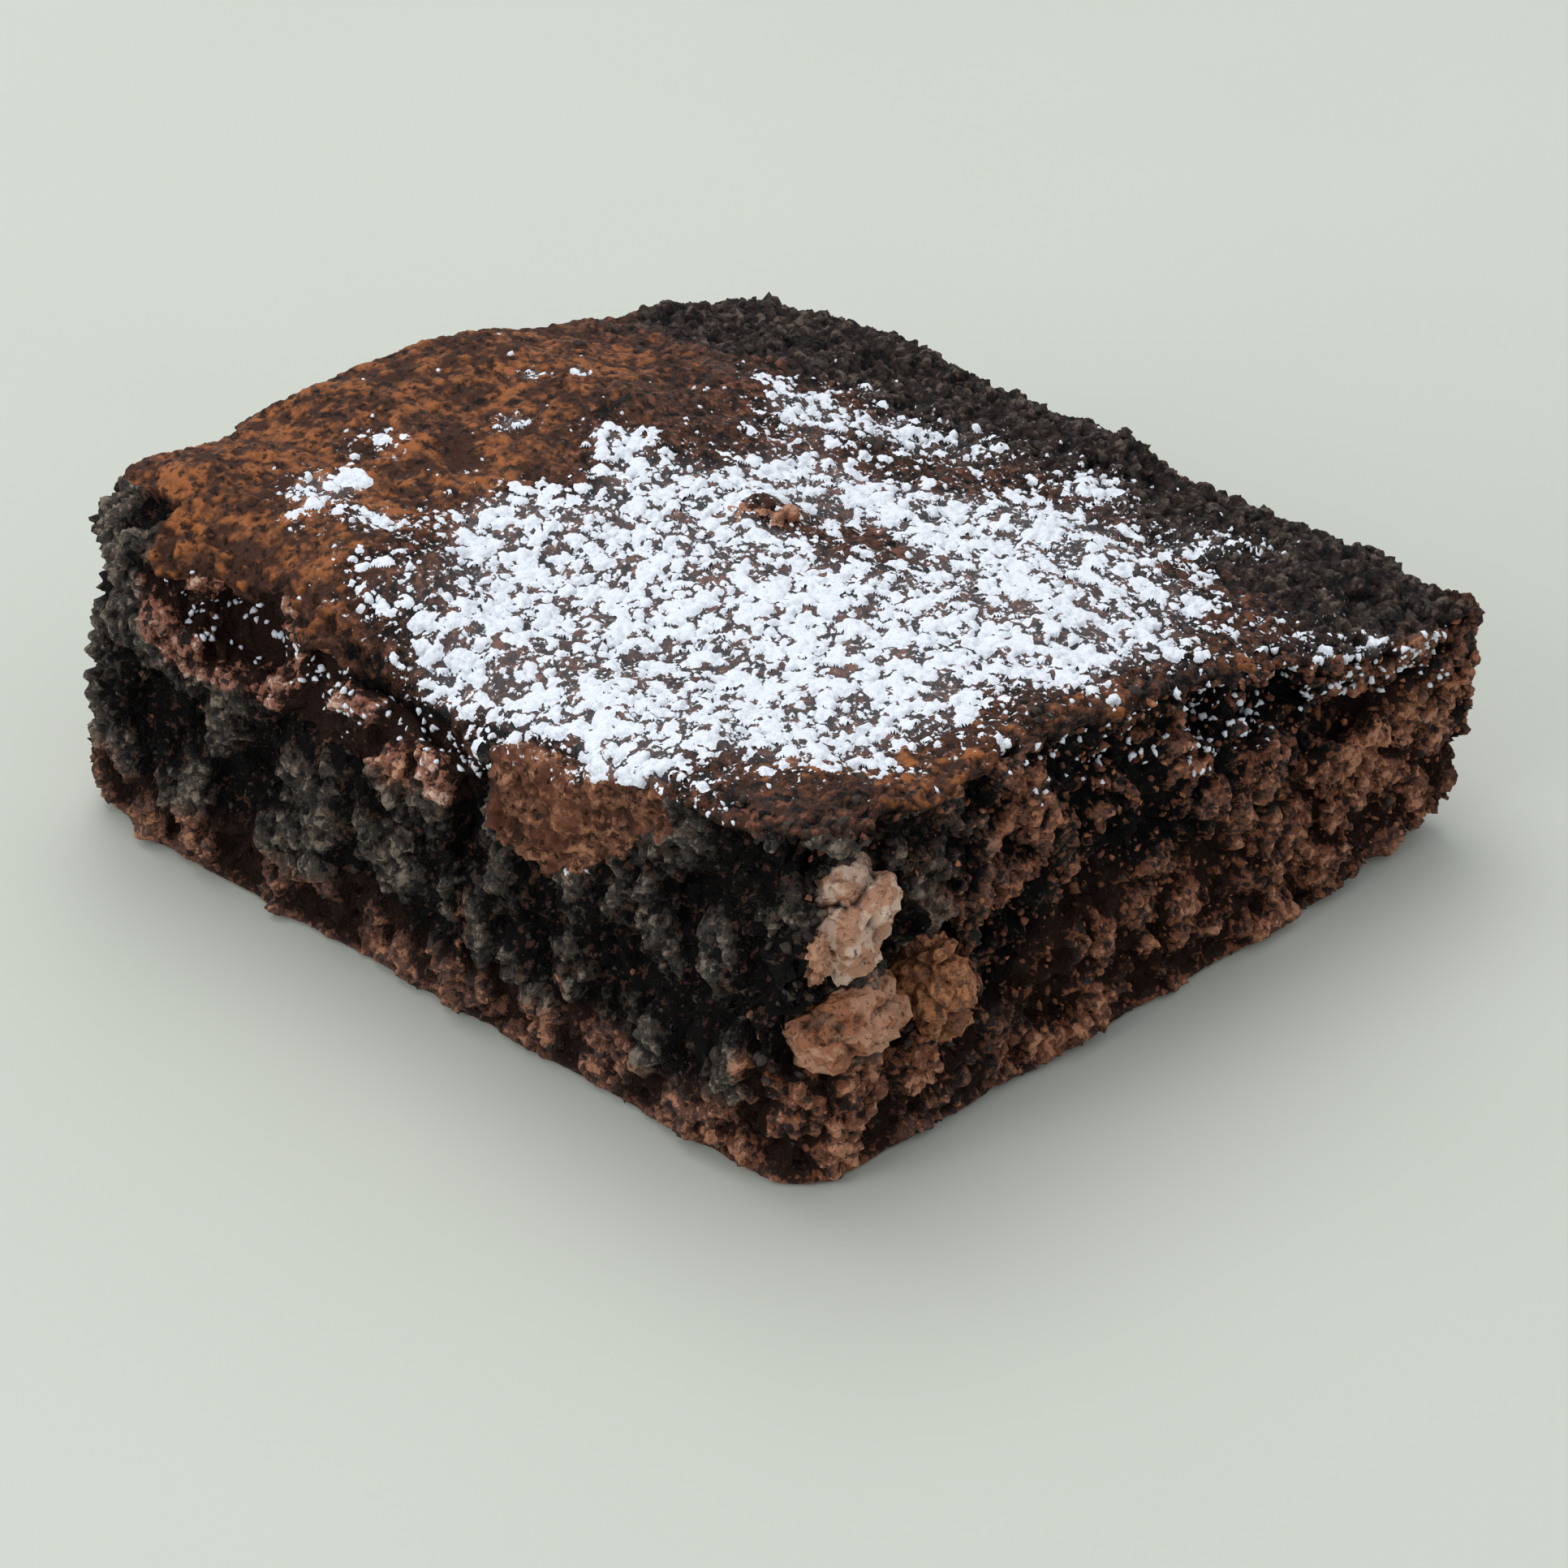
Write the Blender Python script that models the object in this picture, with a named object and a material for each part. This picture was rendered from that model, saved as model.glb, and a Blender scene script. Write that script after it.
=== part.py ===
"""One square of chocolate brownie with walnut pieces showing at its cut side.

The square is a fine box grid pushed into shape: a four-cornered footprint, a top that
follows the height of its four edges, a crust lip, hollows, folds and crumb crags.
X runs along the cut face with the walnuts, Y along the dark baked face, +Z is up,
and the square rests on its flat underside at Z = 0. Lengths below are millimetres.
"""
import math

import bmesh
import bpy
from mathutils import Euler, Vector, noise

MM = 0.001

# Footprint corners, seen from above
FRONT_CORNER = Vector((-34.4, -36.0))
RIGHT_CORNER = Vector((37.6, -38.5))
LEFT_CORNER = Vector((-38.9, 40.0))
BACK_CORNER = Vector((33.1, 34.2))

# How square each corner is in plan: a higher power is a sharper corner
FRONT_SQUARENESS = 24.0
RIGHT_SQUARENESS = 30.0
LEFT_SQUARENESS = 10.0
BACK_SQUARENESS = 10.0
CORNER_BLEND = (0.2, 0.8)

# Height of the top along each edge: (share of the edge's length, height)
DARK_EDGE_HEIGHTS = ((0.00, 31.8), (0.14, 29.8), (0.32, 27.2), (0.52, 26.0), (0.72, 26.8), (0.88, 26.4),
                     (1.00, 24.4))
NUT_EDGE_HEIGHTS = ((0.00, 31.8), (0.08, 31.2), (0.22, 29.4), (0.35, 29.2), (0.46, 28.2), (0.58, 26.4),
                    (0.70, 24.0), (0.83, 21.6), (1.00, 20.4))
BACK_LEFT_HEIGHTS = ((0.00, 24.4), (0.05, 26.4), (0.11, 28.0), (0.21, 27.4), (0.36, 29.0), (0.49, 28.8),
                     (0.68, 26.2), (0.80, 24.0), (0.92, 22.2), (1.00, 21.0))
BACK_RIGHT_HEIGHTS = ((0.00, 20.4), (0.16, 21.4), (0.50, 21.2), (0.75, 21.9), (1.00, 21.0))

# Edge rounding
TOP_ROUNDING = 2.2
BASE_ROUNDING = 1.0
FLAT_BELOW = 0.02
RIGHT_BASE_ROUNDING = 5.0
RIGHT_BASE_FROM_X = 14.0
RIGHT_BASE_FROM_Y = -10.0
RIGHT_BASE_TO_Y = -34.0
SPAN = 36.0

# Over what distances the forms of sides, base and top fade into each other
SIDE_FADE = 3.0
BASE_FADE = 2.5
TOP_FADE = (0.5, 3.0)
CRAGS_AT_BASE = 0.25

# Crust lip that stands proud of the sides, and the undercut below it
LIP_DEPTH = 1.7
LIP_PROUD = 0.4
FRONT_LIP_EXTRA = 0.6
FRONT_LIP_REACH = (8.0, 16.0)
LIP_WAVE_SIZE = 4.0
LIP_WAVE = 0.9
LIP_STEP = 0.5
UNDERCUT = 0.6
UNDERCUT_START = 0.8
UNDERCUT_REACH = 3.2
FLAP_MIDDLE_Y = -10.5
FLAP_HALF_WIDTH = 7.4
FLAP_HANG = 7.0
FLAP_SLANT = 0.035
BROKEN_FROM_Y = 0.0
BROKEN_TO_Y = 24.0
BROKEN_FADE = 3.0

# Crumb crags on the sides and soft waves on the top: (size of the waves, height)
SIDE_CRAGS = ((9.0, 1.42), (4.2, 1.12), (2.3, 0.68))
TOP_WAVES = ((13.0, 0.72), (5.0, 0.51), (2.6, 0.35))
SIDE_STRETCH = 0.62
CUT_SMOOTHNESS = 0.35
CUT_SMOOTH_X = (-15.0, 0.0)

# Grid of the box that is pushed into shape, and the share of its faces that is kept
GRID_X = 58
GRID_Y = 58
GRID_Z = 24
KEPT_SHARE = 0.36

# Walnut pieces at the cut face, and the clearance of their pockets
NUT_CLEARANCE = 0.38
NUT_FACETS = 3
NUT_KEPT_SHARE = 0.35

# Walnut shape: (size of the swells, height), the furrow along it, and how blunt its ends are
NUT_SWELLS = ((0.9, 0.16), (0.4, 0.07))
FURROW_DEPTH = 0.16
FURROW_WIDTH = 0.2
FURROW_SLANT = 0.35
FURROW_OFFSET = 0.1
NUT_BLUNTNESS = 0.85

# Walnut pieces: centre, size across, up and into the face, turn in degrees, and seed
NUTS = {
    "walnut_upper": ((-29.6, -34.9, 22.0), (7.0, 8.4, 5.8), (-78.0, 12.0, 8.0), 3),
    "walnut_lower": ((-29.4, -35.0, 13.4), (8.4, 5.8, 6.4), (-84.0, -8.0, -10.0), 8),
    "walnut_side": ((-21.2, -35.2, 12.2), (5.0, 10.4, 5.8), (-84.0, -14.0, 12.0), 14),
}

CRUST_BROWN = (0.055, 0.026, 0.016, 1.0)
NUT_TAN = (0.262, 0.165, 0.118, 1.0)


def wave(point, size, seed):
    """Signed noise of a given wave size at a point, the same on each run."""
    return noise.noise(point / size + Vector((seed * 7.3, seed * 3.1, seed * 5.7)))


def ease(low, high, value):
    """0 below low, 1 above high, smooth in between."""
    share = min(max((value - low) / (high - low), 0.0), 1.0)
    return share * share * (3.0 - 2.0 * share)


def along(profile, share):
    """Height read from an edge profile, eased between its points."""
    share = min(max(share, 0.0), 1.0)
    for (start, low), (end, high) in zip(profile, profile[1:]):
        if share <= end:
            step = (share - start) / (end - start)
            return low + (high - low) * (0.5 - 0.5 * math.cos(math.pi * step))
    return profile[-1][1]


def top_height(u, v):
    """Height of the top at shares u (along X) and v (along Y) of the footprint: a Coons patch."""
    across_x = (1.0 - u) * along(DARK_EDGE_HEIGHTS, v) + u * along(BACK_RIGHT_HEIGHTS, v)
    across_y = (1.0 - v) * along(NUT_EDGE_HEIGHTS, u) + v * along(BACK_LEFT_HEIGHTS, u)
    front, left = DARK_EDGE_HEIGHTS[0][1], DARK_EDGE_HEIGHTS[-1][1]
    right, back = BACK_RIGHT_HEIGHTS[0][1], BACK_RIGHT_HEIGHTS[-1][1]
    corners = (1.0 - u) * ((1.0 - v) * front + v * left) + u * ((1.0 - v) * right + v * back)
    return across_x + across_y - corners


def in_plan(u, v):
    """Plan point at shares u and v of the footprint."""
    near = FRONT_CORNER.lerp(RIGHT_CORNER, u)
    far = LEFT_CORNER.lerp(BACK_CORNER, u)
    return near.lerp(far, v)


def squareness(a, b):
    """Corner power, blended between the four corners of the unit square."""
    u, v = (a + 1.0) / 2.0, (b + 1.0) / 2.0
    near = FRONT_SQUARENESS + (RIGHT_SQUARENESS - FRONT_SQUARENESS) * ease(*CORNER_BLEND, u)
    far = LEFT_SQUARENESS + (BACK_SQUARENESS - LEFT_SQUARENESS) * ease(*CORNER_BLEND, u)
    return near + (far - near) * ease(*CORNER_BLEND, v)


def rounded_corner(edge, depth, radius):
    """Moves a point of a square corner, given by its distances from both faces, onto a round one."""
    if edge >= radius or depth >= radius:
        return edge, depth
    offset = Vector((edge - radius, depth - radius)).normalized() * radius
    return radius + offset.x, radius + offset.y


class Dab:
    """A rounded push of the surface: centre, reach in X, Y and Z, and how far it moves."""

    def __init__(self, centre, reach, push):
        self.centre = Vector(centre)
        self.reach = Vector(reach)
        self.push = Vector(push)

    def at(self, point):
        gap = point - self.centre
        far = sum((gap[i] / self.reach[i]) ** 2 for i in range(3))
        return self.push * math.exp(-far)


class Groove:
    """A furrow along a chain of points: half-width and how far it moves the surface."""

    def __init__(self, chain, width, push):
        self.chain = [Vector(p) for p in chain]
        self.width = width
        self.push = Vector(push)

    def at(self, point):
        nearest = 1e9
        for start, end in zip(self.chain, self.chain[1:]):
            run = end - start
            share = min(max((point - start).dot(run) / run.length_squared, 0.0), 1.0)
            nearest = min(nearest, (point - start - run * share).length)
        return self.push * math.exp(-(nearest / self.width) ** 2)


# Hollows, lumps and folds, each where it lies on the square before it is pushed
RELIEF = (
    # dark baked face: the broken ledge under the crust, with its cavity and crack
    Dab((-36.0, 19.5, 23.0), (4.0, 5.0, 3.4), (3.4, 0.0, -1.6)),
    Dab((-35.8, 26.0, 19.0), (4.0, 3.0, 3.0), (-1.0, 0.0, 0.4)),
    Dab((-35.6, 14.0, 18.5), (4.0, 6.0, 2.4), (-1.5, 0.0, 0.6)),
    Dab((-35.3, 7.0, 17.5), (4.0, 4.5, 3.0), (-0.9, 0.0, 0.0)),
    Groove(((-35.3, 10.5, 24.4), (-34.0, 4.0, 23.4), (-33.4, -1.0, 22.6)), 1.3, (1.2, 0.0, -1.6)),
    # dark baked face: standing lumps and the gaps between them
    Dab((-34.6, -1.0, 12.5), (4.0, 3.0, 5.5), (-1.5, 0.0, 0.0)),
    Dab((-34.5, -4.6, 12.0), (4.0, 1.2, 6.0), (1.7, 0.0, 0.0)),
    Dab((-34.3, -11.5, 9.5), (4.0, 4.6, 5.0), (-1.5, 0.0, 0.0)),
    Dab((-33.9, -18.6, 10.0), (4.0, 1.3, 6.0), (1.3, 0.0, 0.0)),
    Dab((-33.7, -22.5, 12.0), (4.0, 2.2, 6.5), (-0.8, 0.0, 0.0)),
    Dab((-35.2, 12.5, 8.5), (4.0, 5.0, 4.5), (-0.9, 0.0, 0.0)),
    Dab((-36.5, 33.0, 14.0), (5.0, 5.0, 6.0), (-0.9, 0.6, 0.0)),
    Dab((-36.8, 37.0, 5.5), (4.0, 4.0, 1.6), (-0.9, 0.9, 0.0)),
    Dab((-34.5, 1.0, 25.0), (4.5, 8.0, 7.0), (0.6, 0.0, -2.2)),
    # cut face: undercut below the front of the crust, and the shelf below the walnuts
    Dab((-31.0, -34.3, 26.0), (4.5, 4.0, 1.8), (0.3, 1.6, 0.0)),
    Dab((-27.5, -35.4, 17.4), (6.0, 4.0, 1.4), (0.0, 1.3, 0.0)),
    Dab((-25.0, -35.6, 13.0), (1.2, 4.0, 5.0), (0.0, 1.4, 0.0)),
    Dab((-26.5, -35.5, 6.5), (6.5, 4.0, 2.2), (0.0, -1.3, 0.0)),
    Dab((-16.0, -34.9, 14.0), (2.0, 4.0, 7.0), (0.0, 1.1, 0.0)),
    Dab((-12.0, -35.3, 23.5), (5.0, 4.0, 3.0), (0.0, -0.8, 0.0)),
    # cut face: holes, the rounded knob and the fold where the right-hand block is set back
    Dab((5.6, -36.1, 24.6), (1.8, 4.0, 1.6), (0.0, 1.6, 0.0)),
    Dab((8.5, -36.3, 18.0), (4.4, 4.0, 5.0), (0.0, -1.4, 0.0)),
    Dab((12.6, -36.5, 21.6), (2.3, 4.0, 1.9), (0.0, 3.0, 0.0)),
    Dab((21.8, -37.0, 16.2), (3.0, 4.0, 1.6), (0.0, 3.0, 0.0)),
    Dab((27.0, -37.2, 9.0), (9.0, 4.0, 9.0), (0.0, 0.9, 0.0)),
    Groove(((15.6, -36.6, 19.5), (18.3, -36.8, 9.4), (19.2, -36.8, 0.0)), 1.6, (0.3, 2.2, 0.0)),
    # top: knob and step at the far edge, a walnut crumb under the crust, and hollows
    Dab((31.8, -5.4, 20.0), (2.6, 3.0, 6.0), (1.4, 0.4, 1.4)),
    Dab((32.6, -10.2, 19.0), (2.6, 2.4, 8.0), (-1.6, 0.0, -0.9)),
    Dab((34.0, -19.0, 20.0), (9.0, 8.0, 8.0), (0.0, 0.0, -1.1)),
    Dab((-2.2, 0.5, 26.5), (2.0, 1.6, 6.0), (0.0, 0.0, 1.5)),
    Dab((4.5, -3.5, 25.5), (4.5, 4.0, 6.0), (0.0, 0.0, -0.9)),
    Dab((-9.5, 25.0, 27.0), (3.4, 2.6, 6.0), (0.0, 0.0, -0.8)),
    Dab((-28.0, 30.0, 26.0), (6.0, 5.0, 8.0), (0.0, 0.0, 0.8)),
    Dab((-27.0, 12.0, 25.0), (5.0, 7.0, 8.0), (0.0, 0.0, 0.6)),
)


def crust_lip(point, outward, depth):
    """How far the crust's lip stands out, at a depth below the top edge."""
    on_dark_face = ease(0.5, 0.9, -outward.x)
    broken = on_dark_face * ease(BROKEN_FROM_Y - BROKEN_FADE, BROKEN_FROM_Y, point.y)
    broken *= 1.0 - ease(BROKEN_TO_Y, BROKEN_TO_Y + BROKEN_FADE, point.y)
    flap = max(1.0 - ((point.y - FLAP_MIDDLE_Y) / FLAP_HALF_WIDTH) ** 2, 0.0) * on_dark_face
    slant = 1.0 + FLAP_SLANT * (point.y - FLAP_MIDDLE_Y)
    hang = LIP_DEPTH + FLAP_HANG * flap * slant + LIP_WAVE * wave(point, LIP_WAVE_SIZE, 11)
    inside = 1.0 - ease(hang - LIP_STEP, hang + LIP_STEP, depth)
    below = ease(hang, hang + UNDERCUT_START, depth)
    below *= 1.0 - ease(hang + UNDERCUT_START, hang + UNDERCUT_REACH, depth)
    near_front = 1.0 - ease(*FRONT_LIP_REACH, (point.xy - FRONT_CORNER).length)
    proud = LIP_PROUD + FRONT_LIP_EXTRA * max(near_front, flap)
    return (proud * inside - UNDERCUT * below) * (1.0 - broken)


def crags(point, outward):
    """Crumb crags on a side, taller than they are wide as the cut dragged them."""
    stretched = Vector((point.x, point.y, point.z * SIDE_STRETCH))
    height = sum(rise * wave(stretched, size, n) for n, (size, rise) in enumerate(SIDE_CRAGS))
    return height * (1.0 - CUT_SMOOTHNESS * ease(0.3, 0.9, -outward.y) * ease(*CUT_SMOOTH_X, point.x))


def pushed(unit):
    """Takes a point of the cube from -1 to 1 to its place on the brownie."""
    a, b, c = unit
    rim = max(abs(a), abs(b))
    outward = Vector((0.0, 0.0))
    if rim > 0.0:
        power = squareness(a, b)
        norm = (abs(a) ** power + abs(b) ** power) ** (1.0 / power)
        a, b = a * rim / norm, b * rim / norm
        slope_x = math.copysign(abs(a / rim) ** (power - 1.0), a)
        slope_y = math.copysign(abs(b / rim) ** (power - 1.0), b)
        outward = Vector((slope_x, slope_y)).normalized()
    flat = in_plan((a + 1.0) / 2.0, (b + 1.0) / 2.0)
    top = top_height((a + 1.0) / 2.0, (b + 1.0) / 2.0)
    edge = (1.0 - rim) * SPAN
    depth = (1.0 - c) / 2.0 * top
    base_radius = BASE_ROUNDING + (RIGHT_BASE_ROUNDING - BASE_ROUNDING) * (
        ease(RIGHT_BASE_FROM_X, RIGHT_CORNER.x, flat.x) * ease(RIGHT_BASE_FROM_Y, RIGHT_BASE_TO_Y, flat.y))
    edge, depth = rounded_corner(edge, depth, TOP_ROUNDING)
    edge, lift = rounded_corner(edge, top - depth, base_radius)
    middle = (FRONT_CORNER + RIGHT_CORNER + LEFT_CORNER + BACK_CORNER) / 4.0
    if rim > 0.0:
        flat = middle + (flat - middle) * ((1.0 - edge / SPAN) / rim)
    place = Vector((flat.x, flat.y, lift))
    side = Vector((outward.x, outward.y, 0.0))
    at_side = 1.0 - ease(0.0, SIDE_FADE, edge)
    off_base = ease(0.0, BASE_FADE, lift)
    depth = top - lift
    moved = place.copy()
    moved += side * (crags(place, side) * at_side * (CRAGS_AT_BASE + (1.0 - CRAGS_AT_BASE) * off_base))
    moved += side * (crust_lip(place, side, depth) * at_side * off_base)
    on_top = 1.0 - ease(*TOP_FADE, depth)
    moved.z += on_top * sum(rise * wave(place, size, 20 + n) for n, (size, rise) in enumerate(TOP_WAVES))
    for form in RELIEF:
        moved += form.at(place) * off_base
    return moved


def plain_material(name, colour, roughness):
    """A Principled material with one colour and roughness."""
    material = bpy.data.materials.new(name)
    material.use_nodes = True
    shader = material.node_tree.nodes["Principled BSDF"]
    shader.inputs["Base Color"].default_value = colour
    shader.inputs["Roughness"].default_value = roughness
    shader.inputs["Metallic"].default_value = 0.0
    return material


def new_object(name, mesh, collection, parent):
    """Puts a mesh in the scene under the parent empty."""
    thing = bpy.data.objects.new(name, mesh)
    thing.parent = parent
    collection.objects.link(thing)
    return thing


def box_grid():
    """A cube from -1 to 1, cut into an even grid along each axis."""
    grid = bmesh.new()
    bmesh.ops.create_cube(grid, size=2.0)
    for axis, count in ((0, GRID_X), (1, GRID_Y), (2, GRID_Z)):
        along_axis = [e for e in grid.edges
                      if abs((e.verts[0].co - e.verts[1].co).normalized()[axis]) > 0.9]
        bmesh.ops.subdivide_edges(grid, edges=along_axis, cuts=count - 1, use_grid_fill=True)
    return grid


def flatten_base(body):
    """Applies the body's modifiers and puts every point of its underside on one plane."""
    depsgraph = bpy.context.evaluated_depsgraph_get()
    mesh = bpy.data.meshes.new_from_object(body.evaluated_get(depsgraph))
    for vertex in mesh.vertices:
        if vertex.co.z < FLAT_BELOW * MM:
            vertex.co.z = 0.0
    body.modifiers.clear()
    body.data = mesh


def make_body(collection, parent, material):
    """The brownie square itself, thinned to the faces its shape needs."""
    grid = box_grid()
    for vertex in grid.verts:
        vertex.co = pushed(vertex.co) * MM
    bmesh.ops.triangulate(grid, faces=grid.faces)
    bmesh.ops.recalc_face_normals(grid, faces=grid.faces)
    mesh = bpy.data.meshes.new("brownie")
    grid.to_mesh(mesh)
    grid.free()
    mesh.materials.append(material)
    body = new_object("brownie", mesh, collection, parent)
    thin = body.modifiers.new("fewer faces", "DECIMATE")
    thin.ratio = KEPT_SHARE
    flatten_base(body)
    return body


def nut_mesh(name, size, seed, grown):
    """A broken walnut piece: a ball pulled to size, with blunt facets and a furrow along it."""
    ball = bmesh.new()
    bmesh.ops.create_icosphere(ball, subdivisions=NUT_FACETS, radius=1.0)
    for vertex in ball.verts:
        way = vertex.co.normalized()
        swell = 1.0 + sum(rise * wave(way, wide, seed + n) for n, (wide, rise) in enumerate(NUT_SWELLS))
        from_furrow = (way.y + FURROW_SLANT * way.x + FURROW_OFFSET) / FURROW_WIDTH
        furrow = FURROW_DEPTH * math.exp(-from_furrow ** 2) * max(-way.z, 0.0)
        blunt = Vector([math.copysign(abs(part) ** NUT_BLUNTNESS, part) for part in way])
        place = Vector([blunt[i] * size[i] / 2.0 for i in range(3)]) * (swell - furrow)
        vertex.co = (place + way * grown) * MM
    mesh = bpy.data.meshes.new(name)
    ball.to_mesh(mesh)
    ball.free()
    return mesh


def make_nut(name, collection, cutters, parent, material):
    """A walnut piece and the slightly larger cutter that makes its pocket."""
    centre, size, turn, seed = NUTS[name]
    for target, label, grown in ((collection, name, 0.0), (cutters, name + "_pocket", NUT_CLEARANCE)):
        mesh = nut_mesh(label, size, seed, grown)
        thing = new_object(label, mesh, target, parent)
        thing.location = Vector(centre) * MM
        thing.rotation_euler = Euler([math.radians(part) for part in turn])
        if target is cutters:
            thing.hide_render = True
            thing.display_type = "WIRE"
        else:
            mesh.materials.append(material)
            thin = thing.modifiers.new("fewer faces", "DECIMATE")
            thin.ratio = NUT_KEPT_SHARE


def cut_pockets(body, cutters):
    """Cuts the walnuts' pockets out of the body."""
    cut = body.modifiers.new("walnut pockets", "BOOLEAN")
    cut.operation = "DIFFERENCE"
    cut.solver = "EXACT"
    cut.operand_type = "COLLECTION"
    cut.collection = cutters


def centre_on_base(parts, anchor):
    """Moves the anchor so that the model's box stands on the origin at the middle of its base."""
    bpy.context.view_layer.update()
    depsgraph = bpy.context.evaluated_depsgraph_get()
    points = []
    for part in parts:
        evaluated = part.evaluated_get(depsgraph)
        points += [evaluated.matrix_world @ v.co for v in evaluated.data.vertices]
    low = [min(p[i] for p in points) for i in range(3)]
    high = [max(p[i] for p in points) for i in range(3)]
    anchor.location = (-(low[0] + high[0]) / 2.0, -(low[1] + high[1]) / 2.0, -low[2])


def main():
    for thing in list(bpy.data.objects):
        bpy.data.objects.remove(thing, do_unlink=True)
    collection = bpy.data.collections.new("chocolate_brownie")
    cutters = bpy.data.collections.new("cutters")
    bpy.context.scene.collection.children.link(collection)
    bpy.context.scene.collection.children.link(cutters)
    anchor = new_object("anchor", None, collection, None)
    crumb = plain_material("brownie crumb", CRUST_BROWN, 0.75)
    nut_skin = plain_material("walnut", NUT_TAN, 0.6)
    body = make_body(collection, anchor, crumb)
    for name in NUTS:
        make_nut(name, collection, cutters, anchor, nut_skin)
    cut_pockets(body, cutters)
    parts = [part for part in collection.objects if part.type == "MESH"]
    centre_on_base(parts, anchor)


main()
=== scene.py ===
"""Looks of the chocolate brownie: crust, open crumb, icing sugar and walnut pieces.

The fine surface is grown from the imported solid, so its large forms sit where the solid has them.
Only the crust flap's colour and folds stand apart: they are painted where the photograph has them.
Lengths are in millimetres, and MM turns them into metres. Lights and floor are in metres.
"""
import math

import bmesh
import bpy
import numpy as np
from mathutils import Matrix, Vector


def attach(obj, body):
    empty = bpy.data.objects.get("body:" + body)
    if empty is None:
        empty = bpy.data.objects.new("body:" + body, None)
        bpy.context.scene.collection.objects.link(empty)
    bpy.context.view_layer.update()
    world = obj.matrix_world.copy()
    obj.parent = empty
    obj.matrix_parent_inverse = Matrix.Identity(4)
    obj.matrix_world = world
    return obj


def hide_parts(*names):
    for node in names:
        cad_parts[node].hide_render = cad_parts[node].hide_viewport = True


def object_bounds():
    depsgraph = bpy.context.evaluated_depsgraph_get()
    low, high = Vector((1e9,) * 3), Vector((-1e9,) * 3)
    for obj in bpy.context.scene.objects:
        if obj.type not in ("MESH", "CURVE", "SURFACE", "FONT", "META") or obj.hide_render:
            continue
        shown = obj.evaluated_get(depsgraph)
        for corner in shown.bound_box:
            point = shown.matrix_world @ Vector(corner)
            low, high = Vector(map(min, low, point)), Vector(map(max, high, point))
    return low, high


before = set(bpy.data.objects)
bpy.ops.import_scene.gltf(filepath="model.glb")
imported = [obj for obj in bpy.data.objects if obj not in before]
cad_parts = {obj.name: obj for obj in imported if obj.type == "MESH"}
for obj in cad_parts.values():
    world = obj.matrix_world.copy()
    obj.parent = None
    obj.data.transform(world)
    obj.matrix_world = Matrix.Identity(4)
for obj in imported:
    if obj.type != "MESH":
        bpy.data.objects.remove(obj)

CAD_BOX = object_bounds()
MM = 0.001

# Camera, as the photograph was taken: place, view direction and up in the model's frame
CAMERA_AT = Vector((-245.90, -235.79, 227.72))
CAMERA_FORWARD = Vector((0.60462, 0.57546, -0.55072))
CAMERA_UP = Vector((0.38088, 0.39835, 0.83441))
FOCAL_PIXELS = 6500.0
IMAGE_PIXELS = 1932.0
SENSOR_MM = 36.0

# Points of a solid closer than this are one point
WELD_WITHIN = 0.01
# Fineness of the grown surface
VOXEL = 0.28
SMOOTHING_STEPS = 15
# A rounded grain's height at its middle, and how fast it falls off, as shares of its cell
DOME_HEIGHT = 0.3
DOME_STEEPNESS = 1.25
# Share of the faces that is kept: fewer on a walnut, so that it looks broken and not rounded
SUGAR_KEPT = 0.7
NUT_KEPT = 0.12

# How far out from a walnut its pocket's walls are looked for
POCKET_REACH = 2.5
# Distance from a walnut at which the crumb starts to be free to rise, and at which it is free
POCKET_WALL = 0.15
POCKET_CLEAR = 0.7

# Where the crust is orange brown: x, y, reach, strength
ORANGE_SPOTS = ((-31.8, 28.2, 11.0, 1.0), (-18.0, 29.0, 12.0, 1.0), (-5.0, 28.0, 11.0, 1.0),
                (7.0, 26.5, 7.0, 0.8), (-20.0, 19.0, 9.0, 0.7), (-26.3, -27.2, 5.0, 0.8),
                (-15.1, -33.0, 5.0, 0.7), (-34.0, -14.0, 7.0, 0.7), (4.5, -5.0, 3.2, 0.6),
                (-33.0, 12.0, 4.0, 0.6), (-21.0, -34.0, 6.0, 0.8), (-3.0, -35.0, 6.0, 0.7),
                (12.0, -34.0, 5.0, 0.6), (24.0, -35.0, 5.0, 0.5))
# Where the top is dark, rough and crumbly
BURNT_SPOTS = ((24.0, 29.0, 9.0, 1.0), (29.5, 19.0, 8.0, 1.0), (32.0, 7.6, 7.0, 1.0),
               (31.5, -5.0, 7.0, 0.9), (30.5, -18.0, 8.0, 1.0), (32.0, -31.0, 9.0, 1.0),
               (22.0, 5.0, 7.0, 0.5), (12.0, -37.0, 6.0, 0.35), (2.0, -37.0, 6.0, 0.35),
               (-8.0, -37.5, 5.0, 0.4), (-30.5, -36.0, 5.0, 0.45), (22.0, -37.0, 5.0, 0.4))
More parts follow.
